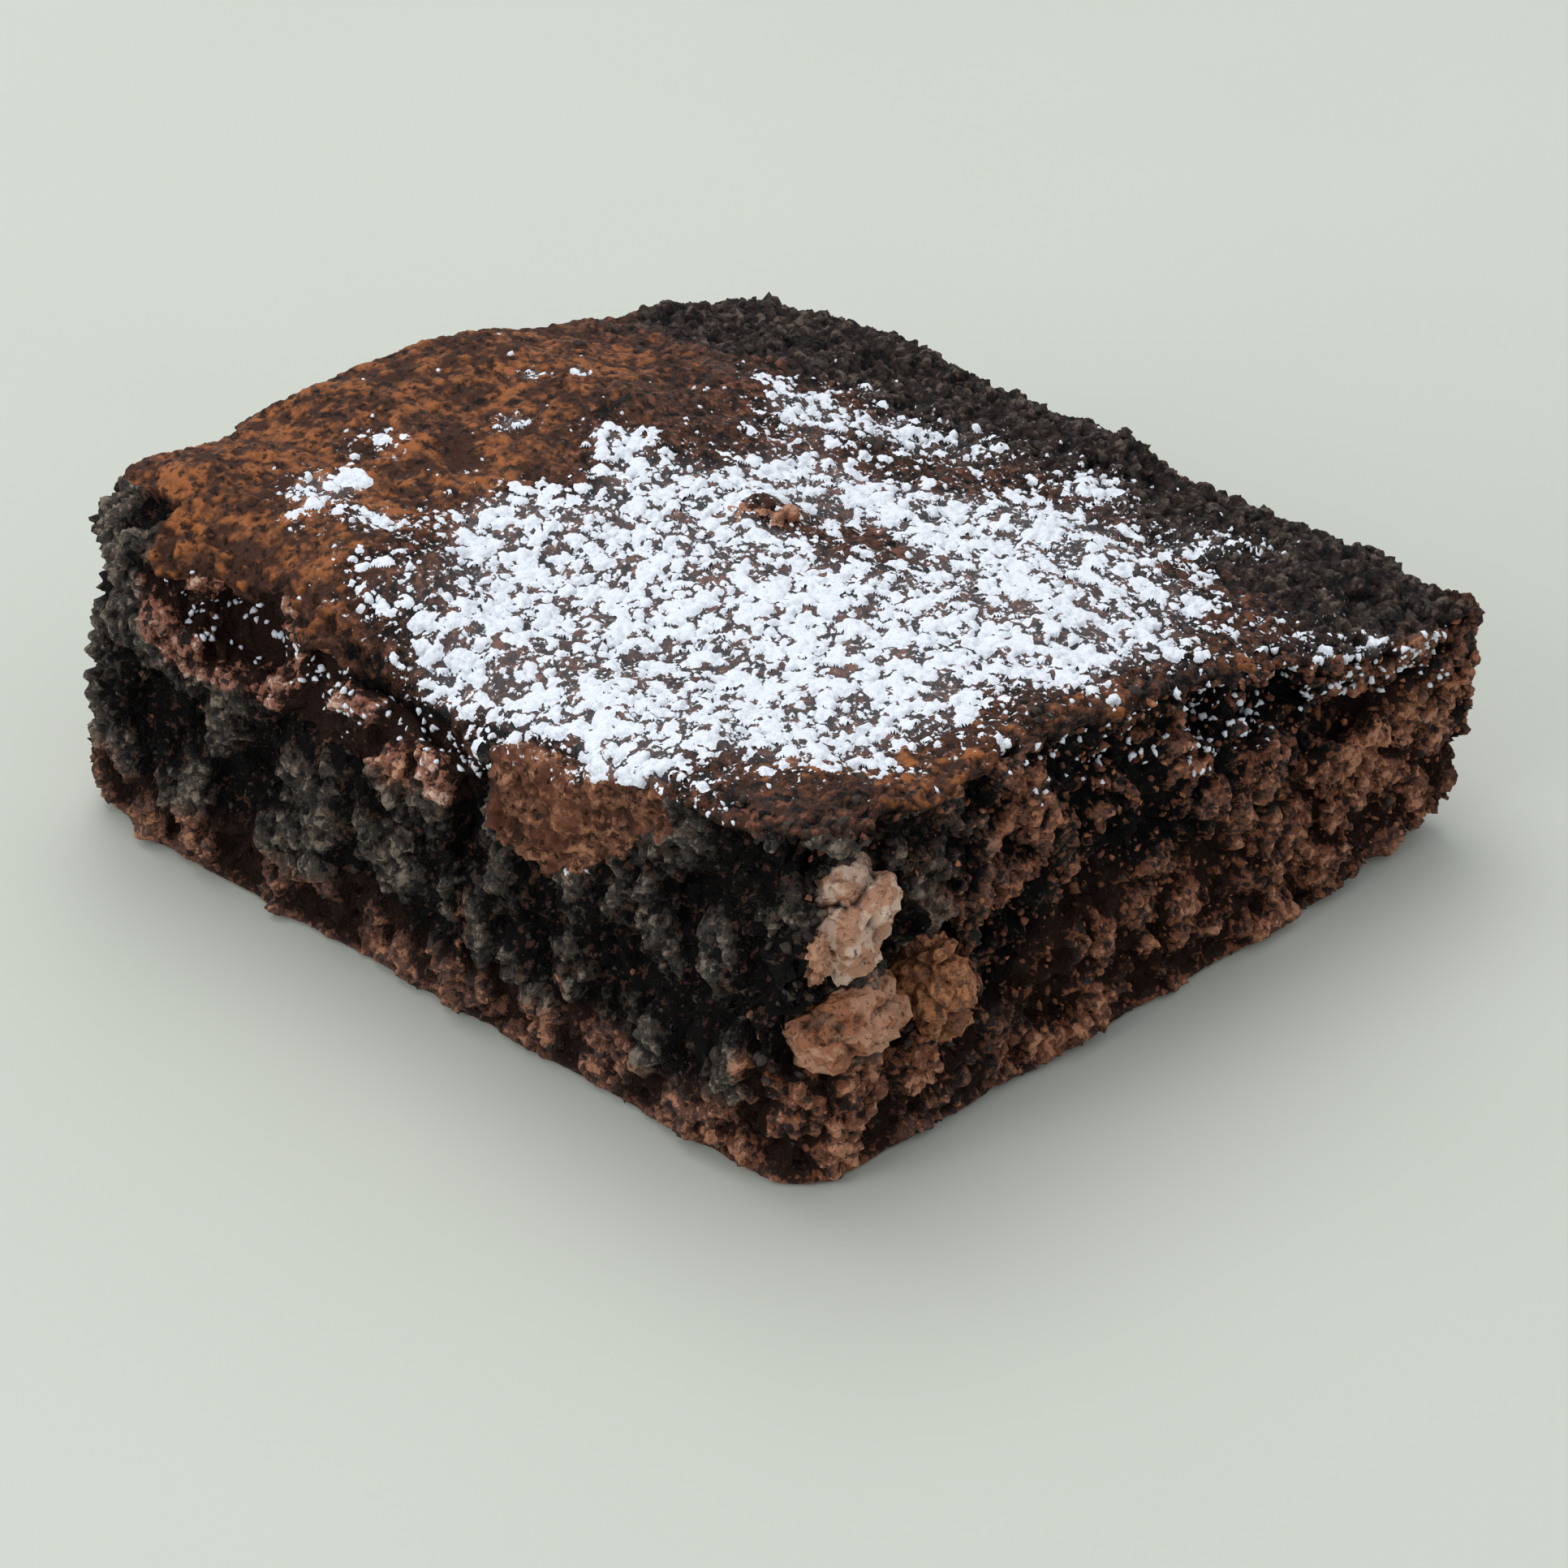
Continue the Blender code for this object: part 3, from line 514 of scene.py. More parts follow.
def relief_tree():
    """Pushes the fine surface out: lumps, crumb grains and pits on the sides, a rough crust on top."""
    tree, given, made = geometry_tree("crumb relief", (
        "Lump Size", "Lump Height", "Groove Depth", "Grain Size", "Grain Height", "Pit Depth",
        "Crust Height", "Burnt Crust Height"))
    where = tree.add("GeometryNodeInputPosition").outputs[0]
    side, open_crumb = tree.painted("side"), tree.painted("open_crumb")
    crust, burnt = tree.painted("crust"), tree.painted("burnt")
    # Lumps with grooves between them
    squeezed = tree.vector("MULTIPLY", {0: where, 1: (1.0, 1.0, 0.7)})
    bent = tree.bent(squeezed, 2.5, 1.6)
    lumps = tree.cells(bent, given["Lump Size"], 0.1)
    grooves = tree.times(tree.ramp(lumps, 0.42, 0.78), given["Groove Depth"])
    grooves = tree.times(grooves, tree.ramp(open_crumb, 0.0, 1.0, 1.0, 0.55))
    lumps = tree.minus(0.35, tree.times(tree.times(lumps, lumps), 1.1))
    lumps = tree.times(lumps, given["Lump Height"])
    # Crumb grains of two sizes on broken ground, and pits
    wobble = tree.bent(where, 0.9, 0.5)
    grain = tree.domes(wobble, given["Grain Size"])
    small = tree.domes(tree.shifted(wobble, 3.1), 0.95)
    broken = tree.minus(tree.noise(tree.shifted(where, 6.6), 1.9, 4.0, 0.62), 0.5)
    broken = tree.math("ABSOLUTE", broken)
    broken = tree.minus(0.12, tree.math("MINIMUM", tree.times(broken, 2.2), 0.35))
    grains = tree.plus(tree.times(grain, 0.7), tree.times(small, 0.45), tree.times(broken, -1.6))
    grains = tree.times(grains, given["Grain Height"])
    pits = tree.ramp(tree.noise(tree.shifted(where, 1.7), 2.1, 3.0, 0.6), 0.38, 0.5, -1.0, 0.0)
    pits = tree.times(tree.times(pits, tree.ramp(open_crumb, 0.0, 1.0, 0.45, 1.0)), given["Pit Depth"])
    # The crust's skin, its rough burnt part and the flap's folds
    skin = tree.minus(tree.noise(tree.shifted(where, 5.3), 2.2, 5.0, 0.68), 0.5)
    skin = tree.plus(tree.times(skin, 1.5), tree.times(small, tree.ramp(burnt, 0.0, 0.6, 0.35, 0.8)))
    rim = tree.math("MAXIMUM", burnt, tree.painted("rim"))
    rough = tree.times(tree.times(tree.plus(grain, pits), rim), given["Burnt Crust Height"])
    fold = tree.minus(tree.noise(tree.shifted(where, 13.3), 3.4, 3.0, 0.6), 0.45)
    fold = tree.plus(tree.times(fold, 2.4 * MM), tree.times(pits, 0.7), tree.times(small, 0.35 * MM))
    fold = tree.times(fold, tree.painted("flap"))
    height = tree.plus(tree.times(tree.plus(lumps, grains, pits, tree.times(grooves, -1.0)), side),
                       tree.times(tree.plus(tree.times(skin, given["Crust Height"]), rough), crust), fold)
    height = tree.plus(height, tree.times(tree.painted("dent"), MM))
    # Nothing rises in the walnuts' pockets, and nothing moves at the underside
    outward = tree.times(tree.math("MAXIMUM", height, 0.0), tree.painted("clear"))
    height = tree.times(tree.plus(outward, tree.math("MINIMUM", height, 0.0)), tree.painted("free"))
    # The height that the colour's painted shade and highlight follow: hollows count with half their depth
    seen_height = tree.plus(tree.math("DIVIDE", height, MM), tree.times(tree.painted("dent"), -0.5))
    stored = tree.stored(given["Mesh"], "height", seen_height)
    tree.feed(made.inputs[0], tree.pushed(stored, height))
    return tree.tree


def keep_tree(name, attribute, above):
    """Keeps the faces whose painted value is above, or not above, one half."""
    tree, given, made = geometry_tree(name, ())
    drop = tree.add("FunctionNodeCompare", {0: tree.painted(attribute), 1: 0.5}, data_type="FLOAT",
                    operation="LESS_EQUAL" if above else "GREATER_THAN").outputs[0]
    inputs = {"Geometry": given["Mesh"], "Selection": drop}
    kept = tree.add("GeometryNodeDeleteGeometry", inputs, domain="FACE")
    tree.feed(made.inputs[0], kept.outputs[0])
    return tree.tree


def close_underside(mesh):
    """Swaps the flat underside's fine faces for large ones that span its rim."""
    shaper = bmesh.new()
    shaper.from_mesh(mesh)
    flat = [face for face in shaper.faces
            if face.normal.z < -0.9 and face.calc_center_median().z < 0.2 * MM]
    bmesh.ops.delete(shaper, geom=flat, context="FACES")
    rim = [edge for edge in shaper.edges if edge.is_boundary
           and max(v.co.z for v in edge.verts) < 1.0 * MM]
    made = bmesh.ops.holes_fill(shaper, edges=rim, sides=0)
    bmesh.ops.triangulate(shaper, faces=made["faces"])
    shaper.to_mesh(mesh)
    shaper.free()


def sugar_tree(material):
    """Icing sugar: the painted fall, gathered in rounded clumps that part where the fall is thin."""
    tree, given, made = geometry_tree("icing sugar", ("Clump Size", "Speck Size", "Thickness"))
    fine = tree.add("GeometryNodeSubdivideMesh", {"Mesh": given["Mesh"], "Level": 1}).outputs[0]
    where = tree.add("GeometryNodeInputPosition").outputs[0]
    cloud = tree.minus(tree.noise(where, 3.6, 3.0), 0.5)
    fall = tree.plus(tree.painted("sugar"), tree.times(cloud, 1.3))
    over = None
    for size, seed, share in ((given["Clump Size"], 0.0, 1.0), (given["Speck Size"], 2.3, 0.95)):
        bent = tree.bent(tree.shifted(where, seed), 1.1, 0.35)
        inputs = {"Vector": bent, "Scale": tree.scale(size)}
        cell = tree.add("ShaderNodeTexVoronoi", inputs, feature="F1").outputs
        chance = tree.add("ShaderNodeSeparateXYZ", {0: cell["Color"]}).outputs[0]
        luck = tree.minus(tree.times(fall, share), tree.times(chance, 0.85))
        reach = tree.ramp(luck, -0.15, 0.6, -0.3, 0.68)
        clump = tree.minus(reach, cell["Distance"])
        over = clump if over is None else tree.math("MAXIMUM", over, clump)
    ragged = tree.minus(tree.noise(tree.shifted(where, 4.4), 0.5, 2.0, 0.55), 0.5)
    over = tree.plus(over, tree.times(ragged, 0.6))
    rise = tree.ramp(over, -0.05, 0.4, -0.12, 1.0)
    rise = tree.times(tree.times(rise, tree.plus(0.8, tree.times(ragged, 1.2))), given["Thickness"])
    moved = tree.pushed(tree.stored(fine, "over", over), rise)
    bare = tree.add("FunctionNodeCompare", {0: tree.painted("over"), 1: -0.03}, data_type="FLOAT",
                    operation="LESS_THAN").outputs[0]
    kept = tree.add("GeometryNodeDeleteGeometry", {"Geometry": moved, "Selection": bare}, domain="FACE")
    dressed = tree.add("GeometryNodeSetMaterial", {"Geometry": kept.outputs[0], "Material": material})
    tree.feed(made.inputs[0], dressed.outputs[0])
    return tree.tree


def scatter_tree(name, attribute, material, seed):
    """Irregular grains strewn over a painted region and partly sunk in it."""
    tree, given, made = geometry_tree(name, ("Per Square Metre", "Smallest", "Largest", "Sink"))
    density = tree.times(tree.painted(attribute), given["Per Square Metre"])
    strewn = tree.add("GeometryNodeDistributePointsOnFaces", {"Mesh": given["Mesh"], "Density": density,
                                                              "Seed": seed})
    ball = tree.add("GeometryNodeMeshIcoSphere", {"Radius": 0.5, "Subdivisions": 1}).outputs[0]
    there = tree.add("GeometryNodeInputPosition").outputs[0]
    lumpy = tree.add("ShaderNodeTexNoise", {"Vector": there, "Scale": 2.4, "Detail": 1.0}).outputs[0]
    swell = tree.vector("SCALE", {0: there, "Scale": tree.times(tree.minus(lumpy, 0.5), 1.6)})
    lump = tree.add("GeometryNodeSetPosition", {"Geometry": ball, "Offset": swell}).outputs[0]
    size = tree.add("FunctionNodeRandomValue", {2: given["Smallest"], 3: given["Largest"], "Seed": seed},
                    data_type="FLOAT").outputs[1]
    squash = tree.add("FunctionNodeRandomValue", {0: (0.7, 0.7, 0.55), 1: (1.25, 1.25, 1.0),
                                                  "Seed": seed + 1}, data_type="FLOAT_VECTOR").outputs[0]
    scaled = tree.vector("SCALE", {0: squash, "Scale": size})
    turn = tree.add("FunctionNodeRandomValue", {0: (0.0, 0.0, 0.0), 1: (math.tau, math.tau, math.tau),
                                                "Seed": seed + 2}, data_type="FLOAT_VECTOR").outputs[0]
    placed = tree.add("GeometryNodeInstanceOnPoints", {"Points": strewn.outputs["Points"],
                                                       "Instance": lump, "Rotation": turn,
                                                       "Scale": scaled}).outputs[0]
    depth = tree.times(tree.times(size, given["Sink"]), -1.0)
    inward = tree.vector("SCALE", {0: strewn.outputs["Normal"], "Scale": depth})
    sunk = tree.add("GeometryNodeTranslateInstances", {"Instances": placed, "Translation": inward,
                                                       "Local Space": False}).outputs[0]
    real = tree.add("GeometryNodeRealizeInstances", {"Geometry": sunk}).outputs[0]
    soft = tree.add("GeometryNodeSetShadeSmooth", {"Geometry": real}).outputs[0]
    dressed = tree.add("GeometryNodeSetMaterial", {"Geometry": soft, "Material": material})
    tree.feed(made.inputs[0], dressed.outputs[0])
    return tree.tree


def shader_group(name, colours, floats, outputs):
    """A shader node group with named colour and number inputs."""
    group = bpy.data.node_groups.new(name, "ShaderNodeTree")
    for label in colours:
        group.interface.new_socket(label, in_out="INPUT", socket_type="NodeSocketColor")
    for label in floats:
        group.interface.new_socket(label, in_out="INPUT", socket_type="NodeSocketFloat")
    for label, kind in outputs:
        group.interface.new_socket(label, in_out="OUTPUT", socket_type=kind)
    made = Tree(group)
    return made, made.add("NodeGroupInput").outputs, made.add("NodeGroupOutput")


def crumb_group():
    """Baked crumb: painted shade in its pits and painted highlight on its raised grain tips, both
    following the relief, over mottled colour, with a fine grain bump.
    """
    tree, given, made = shader_group(
        "baked crumb", ("Pit", "Body", "Painted Highlight"), ("Height", "Grain Size", "Mottle"),
        (("Color", "NodeSocketColor"), ("Bump", "NodeSocketFloat"), ("Roughness", "NodeSocketFloat")))
    where = tree.add("ShaderNodeTexCoord").outputs["Object"]
    grain = tree.cells(tree.bent(where, 0.7, 0.35), given["Grain Size"], 0.15)
    fleck = tree.noise(where, 0.5, 3.0, 0.65)
    cloud = tree.noise(tree.shifted(where, 1.3), 4.5, 3.0, 0.6)
    inputs = {"Vector": tree.bent(where, 0.5, 0.25), "Scale": tree.scale(0.6)}
    crumb = tree.add("ShaderNodeTexVoronoi", inputs, feature="F1").outputs["Color"]
    tone = tree.add("ShaderNodeSeparateXYZ", {0: crumb}).outputs[0]
    # The lift follows the relief (the stored height, and the grain and flecks that the bump raises), with
    # random mottling on top
    lift = tree.plus(given["Height"], tree.times(tree.minus(0.4, grain), 0.8),
                     tree.times(tree.minus(fleck, 0.5), 2.6),
                     tree.times(tree.minus(tone, 0.5), 1.2),
                     tree.times(tree.minus(cloud, 0.5), given["Mottle"]))
    # Painted shade (the Pit colour) where the lift is low, painted highlight where it is high
    colour = tree.mix(tree.ramp(lift, -0.75, 0.1), given["Pit"], given["Body"])
    colour = tree.mix(tree.ramp(lift, 0.15, 0.85), colour, given["Painted Highlight"])
    tree.feed(made.inputs["Color"], colour)
    bump = tree.plus(tree.times(grain, -0.8), tree.times(fleck, 1.6))
    tree.feed(made.inputs["Bump"], bump)
    moist = tree.noise(tree.shifted(where, 7.7), 0.9, 2.0)
    tree.feed(made.inputs["Roughness"], tree.ramp(moist, 0.56, 0.66, 0.8, 0.28))
    return tree.tree


def dust_group():
    """A thin fall of icing sugar: fine white specks over any colour."""
    tree, given, made = shader_group(
        "sugar dust", ("Under", "White"), ("Amount", "Speck Size"),
        (("Color", "NodeSocketColor"),))
    where = tree.add("ShaderNodeTexCoord").outputs["Object"]
    speck = tree.noise(tree.shifted(where, 6.1), given["Speck Size"], 3.0, 0.6)
    mask = tree.ramp(tree.plus(speck, tree.times(given["Amount"], 0.12)), 0.66, 0.74)
    mask = tree.times(mask, tree.ramp(given["Amount"], 0.05, 0.5))
    mask = tree.math("MAXIMUM", mask, tree.ramp(given["Amount"], 0.5, SUGAR_MOST, 0.0, 0.06))
    tree.feed(made.inputs["Color"], tree.mix(mask, given["Under"], given["White"]))
    return tree.tree


GROUPS = {"crumb": crumb_group(), "dust": dust_group()}


def new_material(name, roughness, specular):
    """A material with its Principled shader, as a Tree, the material and the shader."""
    material = bpy.data.materials.new(name)
    material.use_nodes = True
    shader = material.node_tree.nodes["Principled BSDF"]
    shader.inputs["Roughness"].default_value = roughness
    shader.inputs["Specular IOR Level"].default_value = specular
    return Tree(material.node_tree), material, shader


def use_group(tree, name, inputs):
    """Places a shared shader group with its values."""
    node = tree.add("ShaderNodeGroup", node_tree=GROUPS[name])
    for label, value in inputs.items():
        tree.feed(node.inputs[label], value)
    return node.outputs


def crumb_layer(tree, height, shade_and_dark_tone, body, highlight_and_light_tone, grain_size, mottle):
    """One colouring of the baked crumb, with painted shade in its pits and painted highlight on its
    raised grains.
    """
    return use_group(tree, "crumb", {"Pit": shade_and_dark_tone, "Body": body, "Painted Highlight": highlight_and_light_tone, "Height": height,
                                     "Grain Size": grain_size * MM, "Mottle": mottle})


def bump(tree, shader, height, distance_mm):
    """Feeds a height through a Bump node to the shader."""
    node = tree.add("ShaderNodeBump", {"Height": height, "Distance": distance_mm * MM})
    tree.feed(shader.inputs["Normal"], node.outputs[0])


def side_material():
    """The sides: near-black fudge crumb on the dark face, brown open crumb on the cut faces."""
    tree, material, shader = new_material("brownie crumb", 0.6, 0.45)
    height = tree.painted("height")
    # Each layer paints shade into the pits and a highlight onto the raised grains of its colour
    dark = crumb_layer(tree, height, SHADE_AND_TONE_BLACK, FUDGE_BLACK, FUDGE_HIGHLIGHT, 1.1, 0.6)
    brown = crumb_layer(tree, height, SHADE_AND_TONE_BLACK, CRUMB_BROWN, CRUMB_HIGHLIGHT_AND_TONE, 0.9, 2.6)
    red = crumb_layer(tree, height, BROWN_SHADE, CRUMB_LOW, CRUMB_HIGHLIGHT_AND_TONE, 1.0, 1.6)
    warm = crumb_layer(tree, height, BROWN_SHADE, CRUMB_WARM, WARM_HIGHLIGHT, 0.9, 1.8)
    shelf = crumb_layer(tree, height, BROWN_SHADE, LEDGE_LIT_RED, LEDGE_HIGHLIGHT, 0.9, 2.2)
    where = tree.add("ShaderNodeTexCoord").outputs["Object"]
    cloud = tree.minus(tree.noise(tree.shifted(where, 8.2), 7.0, 2.0), 0.5)
    openness = tree.ramp(tree.plus(tree.painted("open_crumb"), cloud), 0.3, 0.7)
    fleck = tree.ramp(tree.noise(tree.shifted(where, 15.2), 0.9, 3.0, 0.65), 0.57, 0.64, 0.0, 0.4)
    colour = tree.mix(openness, tree.mix(fleck, dark["Color"], FUDGE_FLECK), brown["Color"])
    band = tree.ramp(tree.plus(tree.painted("low_band"), tree.times(cloud, 0.6)), 0.1, 0.7)
    colour = tree.mix(tree.times(band, 0.8), colour, red["Color"])
    # The broken ledge: its own red brown, made lighter as painted light against the shade of its hollow
    broken = tree.ramp(tree.plus(tree.painted("ledge"), tree.times(cloud, 0.5)), 0.1, 0.5)
    colour = tree.mix(broken, colour, shelf["Color"])
    colour = tree.mix(tree.ramp(tree.plus(tree.painted("warm"), cloud), 0.35, 0.9), colour, warm["Color"])
    tree.feed(shader.inputs["Base Color"], colour)
    tree.feed(shader.inputs["Roughness"], dark["Roughness"])
    tree.feed(shader.inputs["Specular IOR Level"], tree.ramp(height, -0.7, 0.5, 0.12, 0.5))
    bump(tree, shader, dark["Bump"], 0.35)
    return material


def crust_material():
    """The crust: orange brown and leathery at the left, dark between, burnt and rough at the far edge."""
    tree, material, shader = new_material("brownie crust", 0.65, 0.12)
    where = tree.add("ShaderNodeTexCoord").outputs["Object"]
    height = tree.painted("height")
    cloud = tree.minus(tree.noise(where, 4.0, 4.0, 0.7), 0.5)
    pore = tree.noise(tree.shifted(where, 2.9), 0.8, 3.0, 0.6)
    grain = tree.cells(tree.bent(where, 0.8, 0.4), 1.0, 0.2)
    patch = tree.noise(tree.shifted(where, 9.4), 2.6, 4.0, 0.65)
    # Orange brown patches, more orange on raised skin and grain middles, partly a painted highlight
    lift = tree.plus(patch, tree.times(height, 0.3), tree.times(tree.minus(0.4, grain), 0.35))
    leather = tree.mix(tree.ramp(lift, 0.36, 0.66), BROWN_CRUST, ORANGE_CRUST)
    # Painted shade: black in the pores, which the bump sinks
    leather = tree.mix(tree.ramp(pore, 0.36, 0.48, 0.85, 0.0), leather, SHADE_AND_TONE_BLACK)
    # Brown and burnt crust: painted shade in the pits, painted highlight on the raised grains
    brown = crumb_layer(tree, height, SHADE_AND_TONE_BLACK, BROWN_CRUST, CRUMB_BROWN, 1.3, 1.6)
    burnt = crumb_layer(tree, height, SHADE_AND_TONE_BLACK, BURNT_CRUST, BURNT_HIGHLIGHT, 0.9, 1.2)
    grains = tree.minus(tree.noise(tree.shifted(where, 12.1), 1.1, 3.0, 0.6), 0.5)
    orange = tree.plus(tree.painted("orange"), tree.times(cloud, 0.9), tree.times(grains, 1.6))
    orange = tree.ramp(orange, 0.15, 0.75)
    red = tree.ramp(tree.plus(cloud, tree.times(grains, 1.4)), 0.1, 0.4, 0.0, 0.75)
    dark = tree.ramp(tree.plus(tree.painted("burnt"), tree.times(cloud, 0.9)), 0.35, 0.65)
    colour = tree.mix(orange, tree.mix(red, brown["Color"], RED_CRUST), leather)
    colour = tree.mix(dark, colour, burnt["Color"])
    half_height = tree.times(height, 0.5)
    # The flap: painted shade in its hollows and painted highlight on its folds and grains, at half
    # strength
    smooth = crumb_layer(tree, half_height, BROWN_CRUST, FLAP_BROWN, FLAP_HIGHLIGHT, 1.4, 3.4)
    smooth = tree.mix(tree.ramp(patch, 0.40, 0.52, 0.85, 0.0), smooth["Color"], RED_CRUST)
    # Painted shade: black in the flap's pores, which the bump sinks
    smooth = tree.mix(tree.ramp(pore, 0.34, 0.42, 0.9, 0.0), smooth, SHADE_AND_TONE_BLACK)
    colour = tree.mix(tree.ramp(tree.painted("flap"), 0.3, 0.8, 0.0, 0.8), colour, smooth)
    dusted = use_group(tree, "dust", {"Under": colour, "White": SUGAR_WHITE,
                                      "Amount": tree.painted("sugar"), "Speck Size": 0.5 * MM})
    tree.feed(shader.inputs["Base Color"], dusted["Color"])
    tree.feed(shader.inputs["Roughness"], tree.ramp(patch, 0.35, 0.65, 0.7, 0.5))
    bump(tree, shader, tree.plus(tree.times(pore, 1.2), tree.times(grain, -0.9)), 0.25)
    return material


def sugar_material():
    """Icing sugar: matt white powder with a soft fine grain, greyer in the grain's hollows as painted
    shade.
    """
    tree, material, shader = new_material("icing sugar", 0.95, 0.2)
    where = tree.add("ShaderNodeTexCoord").outputs["Object"]
    grain = tree.noise(where, 0.22, 3.0, 0.7)
    # Painted shade: the greyer white where the grain's bump sinks
    colour = tree.mix(tree.ramp(grain, 0.25, 0.6), SUGAR_SHADE, SUGAR_WHITE)
    tree.feed(shader.inputs["Base Color"], colour)
    bump(tree, shader, grain, 0.12)
    return material


def walnut_material(name, ground, patches, dusting):
    """Walnut skin: mottled tan and orange brown, with crumb stuck to it, and painted shade in its cracks.
    """
    tree, material, shader = new_material(name, 0.55, 0.35)
    where = tree.add("ShaderNodeTexCoord").outputs["Object"]
    cloud = tree.noise(where, 2.4, 3.0, 0.6)
    speck = tree.noise(tree.shifted(where, 3.7), 0.5, 3.0, 0.7)
    colour = tree.mix(tree.ramp(cloud, 0.44, 0.52), patches, ground)
    colour = tree.mix(tree.ramp(speck, 0.32, 0.32 + dusting, 0.85, 0.0), colour, WALNUT_CREASE)
    # Painted shade: black where the cracks sink the surface
    colour = tree.mix(tree.ramp(tree.painted("height"), -0.75, -0.15, 0.95, 0.0), colour, SHADE_AND_TONE_BLACK)
    tree.feed(shader.inputs["Base Color"], colour)
    bump(tree, shader, tree.plus(cloud, speck), 0.3)
    return material


def loose_crumb_material(name, shade_and_dark_tone, body, highlight_and_light_tone):
    """Small crumbs: each a little different in brown."""
    tree, material, shader = new_material(name, 0.75, 0.25)
    where = tree.add("ShaderNodeTexCoord").outputs["Object"]
    tone = tree.noise(where, 1.4, 2.0, 0.6)
    colour = tree.mix(tree.ramp(tone, 0.32, 0.48), shade_and_dark_tone, body)
    colour = tree.mix(tree.ramp(tone, 0.52, 0.68), colour, highlight_and_light_tone)
    tree.feed(shader.inputs["Base Color"], colour)
    bump(tree, shader, tree.noise(where, 0.25, 2.0), 0.15)
    return material


def belongs(piece, slot, *nodes):
    """Holds a piece in the box, hangs it on the root body and hides the solids that it replaces; the slot
    is not used.
    """
    keep_in_box(piece.data)
    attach(piece, "root")
    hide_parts(*nodes)


def make_body():
    """Crust, near crumb and far crumb, grown from the solid so that their seams meet."""
    fine = fine_copy("brownie")
    paint_masks(fine.data)
    relief = grown(fine, "brownie_relief", relief_tree(), {
        "Lump Size": 4.2 * MM, "Lump Height": 1.1 * MM, "Groove Depth": 1.2 * MM, "Grain Size": 1.15 * MM,
        "Grain Height": 1.1 * MM, "Pit Depth": 1.1 * MM, "Crust Height": 0.85 * MM,
        "Burnt Crust Height": 1.0 * MM})
    bpy.data.objects.remove(fine)
    relief.data.shade_smooth()
    crust = grown(relief, "crust", keep_tree("keep crust", "crust", True), {})
    sides = grown(relief, "sides", keep_tree("keep crumb", "crust", False), {})
    bpy.data.objects.remove(relief)
    close_underside(sides.data)
    crumb = grown(sides, "crumb", keep_tree("keep near faces", "turned_away", False), {})
    far_crumb = grown(sides, "far_crumb", keep_tree("keep far faces", "turned_away", True), {})
    bpy.data.objects.remove(sides)
    baked = side_material()
    for piece, material in ((crust, crust_material()), (crumb, baked), (far_crumb, baked)):
        piece.data.materials.clear()
        piece.data.materials.append(material)
    return crust, crumb, far_crumb


def walnut_tree(material):
    """Turns a plain nut shape into a broken chunk: blunt facets, deep cracks and a rough skin."""
    tree, given, made = geometry_tree("walnut chunk " + material.name, (
        "Facet Size", "Crack Depth", "Swell"))
    where = tree.bent(tree.add("GeometryNodeInputPosition").outputs[0], 2.0, 0.5)
    facet = tree.add("ShaderNodeTexVoronoi", {"Vector": where, "Scale": tree.scale(given["Facet Size"])},
                     feature="DISTANCE_TO_EDGE").outputs["Distance"]
    crack = tree.ramp(facet, 0.0, 0.16, -1.0, 0.0)
    dome = tree.ramp(facet, 0.0, 0.5, -0.35, 0.15)
    skin = tree.times(tree.minus(tree.noise(where, 1.1, 5.0, 0.75), 0.5), 3.0 * MM)
    rise = tree.plus(tree.times(tree.plus(crack, dome), given["Crack Depth"]), skin, given["Swell"])
    moved = tree.pushed(tree.stored(given["Mesh"], "height", tree.math("DIVIDE", rise, MM)), rise)
    dressed = tree.add("GeometryNodeSetMaterial", {"Geometry": moved, "Material": material})
    tree.feed(made.inputs[0], dressed.outputs[0])
    return tree.tree


def make_walnut(node, material, facet_size, crack_depth):
    """A walnut piece grown from its solid."""
    nut = welded_copy(node, node + "_fine")
    round_off = nut.modifiers.new("rounder", "SUBSURF")
    round_off.levels = 3
    round_off.render_levels = 3
    piece = grown(nut, node + "_nut", walnut_tree(material), {
        "Facet Size": facet_size * MM, "Crack Depth": crack_depth * MM, "Swell": 0.45 * MM})
    bpy.data.objects.remove(nut)
    thin_out(piece, NUT_KEPT)
    piece.data.shade_flat()
    return piece


def make_bit(name, place, size, turn, material):
    """A small walnut crumb: a ball pulled to size and broken up."""
    ball = bmesh.new()
    bmesh.ops.create_icosphere(ball, subdivisions=5, radius=0.5 * MM)
    turned = Matrix.Rotation(turn, 4, "Z") @ Matrix.Diagonal((*size, 1.0))
    bmesh.ops.transform(ball, matrix=Matrix.Translation(Vector(place) * MM) @ turned, verts=ball.verts)
    mesh = bpy.data.meshes.new(name)
    ball.to_mesh(mesh)
    ball.free()
    plain = new_piece(name + "_plain", mesh)
    piece = grown(plain, name, walnut_tree(material), {
        "Facet Size": 2.6 * MM, "Crack Depth": 0.4 * MM, "Swell": 0.05 * MM})
    bpy.data.objects.remove(plain)
    piece.data.shade_smooth()
    return piece


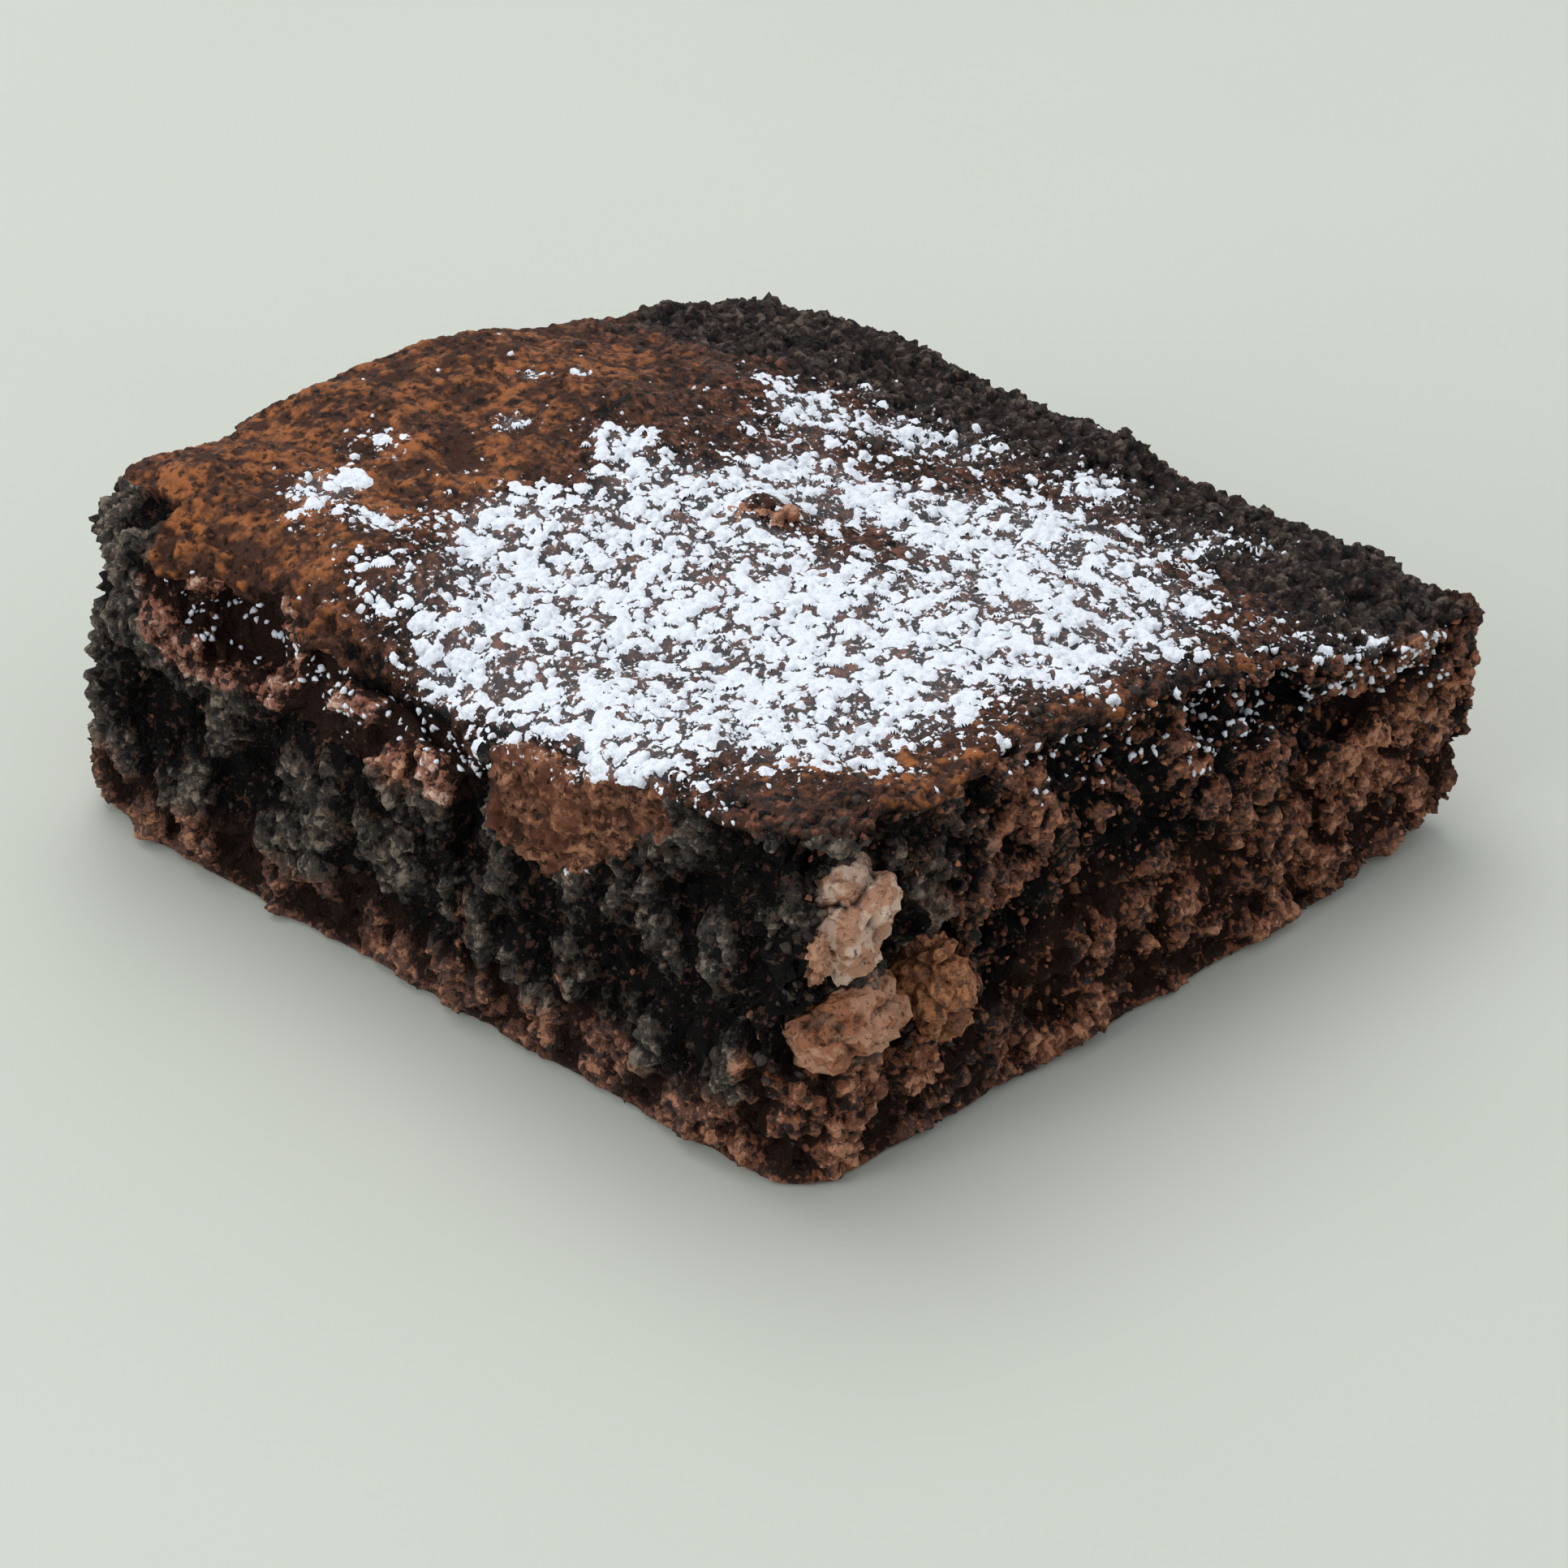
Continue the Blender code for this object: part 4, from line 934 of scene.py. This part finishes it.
def make_object():
    """Every piece of the brownie."""
    crust, crumb, far_crumb = make_body()
    belongs(crust, "brownie_crumb", "brownie")
    belongs(crumb, "brownie_crumb", "brownie")
    belongs(far_crumb, "brownie_crumb", "brownie")
    powder = sugar_material()
    sugar = grown(crust, "sugar", sugar_tree(powder), {
        "Clump Size": 1.5 * MM, "Speck Size": 0.8 * MM, "Thickness": 0.32 * MM})
    thin_out(sugar, SUGAR_KEPT)
    sugar.data.shade_smooth()
    belongs(sugar, "brownie_crumb", "brownie")
    grains = grown(crust, "sugar_grains", scatter_tree("sugar grains", "sugar", powder, 5), {
        "Per Square Metre": 0.35e6, "Smallest": 0.2 * MM, "Largest": 0.6 * MM, "Sink": 0.1})
    belongs(grains, "brownie_crumb", "brownie")
    lip_grains = grown(crumb, "lip_sugar", scatter_tree("lip sugar", "lip_sugar", powder, 7), {
        "Per Square Metre": 1.0e6, "Smallest": 0.3 * MM, "Largest": 0.85 * MM, "Sink": 0.1})
    belongs(lip_grains, "brownie_crumb", "brownie")
    brown = loose_crumb_material("brown crumbs", SHADE_AND_TONE_BLACK, CRUMB_BROWN, CRUMB_HIGHLIGHT_AND_TONE)
    dark = loose_crumb_material("dark crumbs", SHADE_AND_TONE_BLACK, FUDGE_BLACK, BURNT_CRUST)
    open_crumb_tree = scatter_tree("open crumbs", "open_fall", brown, 11)
    dark_crumb_tree = scatter_tree("dark crumbs", "dark_fall", dark, 23)
    for host, prefix in ((crumb, ""), (far_crumb, "far_")):
        loose = grown(host, prefix + "open_crumbs", open_crumb_tree, {
            "Per Square Metre": 0.5e6, "Smallest": 0.3 * MM, "Largest": 0.95 * MM, "Sink": 0.2})
        belongs(loose, "brownie_crumb", "brownie")
        loose = grown(host, prefix + "dark_crumbs", dark_crumb_tree, {
            "Per Square Metre": 0.2e6, "Smallest": 0.35 * MM, "Largest": 1.0 * MM, "Sink": 0.35})
        belongs(loose, "brownie_crumb", "brownie")
    burnt_crumbs = grown(crust, "burnt_crumbs", scatter_tree("burnt crumbs", "burnt_fall", dark, 31), {
        "Per Square Metre": 0.3e6, "Smallest": 0.4 * MM, "Largest": 1.4 * MM, "Sink": 0.2})
    belongs(burnt_crumbs, "brownie_crumb", "brownie")
    pale = walnut_material("walnut pale", WALNUT_PALE, WALNUT_TAN, 0.1)
    tan = walnut_material("walnut tan", WALNUT_TAN, WALNUT_ORANGE, 0.14)
    dull = walnut_material("walnut dull", WALNUT_DULL, WALNUT_BROWN, 0.3)
    for node, finish, facet_size, crack_depth in (("walnut_upper", pale, 6.5, 0.7),
                                                  ("walnut_lower", tan, 5.0, 0.7),
                                                  ("walnut_side", dull, 2.6, 0.6)):
        belongs(make_walnut(node, finish, facet_size, crack_depth), "walnut", node)
    bit = make_bit("walnut_bit_left", (-32.8, -36.4, 21.2), (2.8, 2.4, 4.0), 0.3, tan)
    belongs(bit, "walnut", "walnut_upper")
    bit = make_bit("walnut_bit_top", (-1.6, -0.5, 27.6), (5.2, 3.4, 2.9), -0.8, tan)
    belongs(bit, "brownie_crumb", "brownie")


def make_stage():
    """A pale floor, faintly clouded."""
    floor_maker = bmesh.new()
    bmesh.ops.create_grid(floor_maker, x_segments=8, y_segments=8, size=FLOOR_HALF_WIDTH)
    mesh = bpy.data.meshes.new("floor")
    floor_maker.to_mesh(mesh)
    floor_maker.free()
    floor = new_piece("floor", mesh)
    tree, material, shader = new_material("pale floor", 0.55, 0.3)
    where = tree.add("ShaderNodeTexCoord").outputs["Object"]
    cloud = tree.noise(where, 60.0, 2.0)
    tree.feed(shader.inputs["Base Color"], tree.mix(cloud, FLOOR_PALE, FLOOR_SHADE))
    mesh.materials.append(material)


def make_light(name, place, size, power, colour):
    """A soft square light that points at the brownie."""
    lamp = bpy.data.lights.new(name, "AREA")
    lamp.shape = "SQUARE"
    lamp.size = size
    lamp.energy = power
    lamp.color = colour
    light = new_piece(name, lamp)
    light.location = place
    light.rotation_euler = (LIGHTS_AIM_AT - Vector(place)).to_track_quat("-Z", "Y").to_euler()


def make_studio():
    """Soft light from above and behind, a weaker one from the front left, and a pale surround."""
    make_light("window", (0.10, 0.30, 0.85), 0.7, 4.0, (1.0, 0.99, 0.97))
    make_light("left_fill", (-0.80, 0.05, 0.45), 0.4, 2.4, (0.97, 0.98, 1.0))
    world = bpy.data.worlds.new("surround")
    world.use_nodes = True
    background = world.node_tree.nodes["Background"]
    background.inputs["Color"].default_value = SURROUND_COLOUR
    background.inputs["Strength"].default_value = SURROUND_STRENGTH
    bpy.context.scene.world = world
    bpy.context.scene.view_settings.view_transform = "Standard"


def make_camera():
    """The camera at the photograph's viewing angle."""
    lens = bpy.data.cameras.new("camera")
    lens.sensor_width = SENSOR_MM
    lens.lens = SENSOR_MM * FOCAL_PIXELS / IMAGE_PIXELS
    lens.clip_start = 0.01
    camera = new_piece("camera", lens)
    right = CAMERA_FORWARD.cross(CAMERA_UP).normalized()
    up = right.cross(CAMERA_FORWARD).normalized()
    turn = Matrix((right, up, -CAMERA_FORWARD)).transposed()
    camera.matrix_world = Matrix.Translation(CAMERA_AT * MM) @ turn.to_4x4()
    bpy.context.scene.camera = camera


make_object()
make_stage()
make_studio()
make_camera()
bpy.context.view_layer.update()
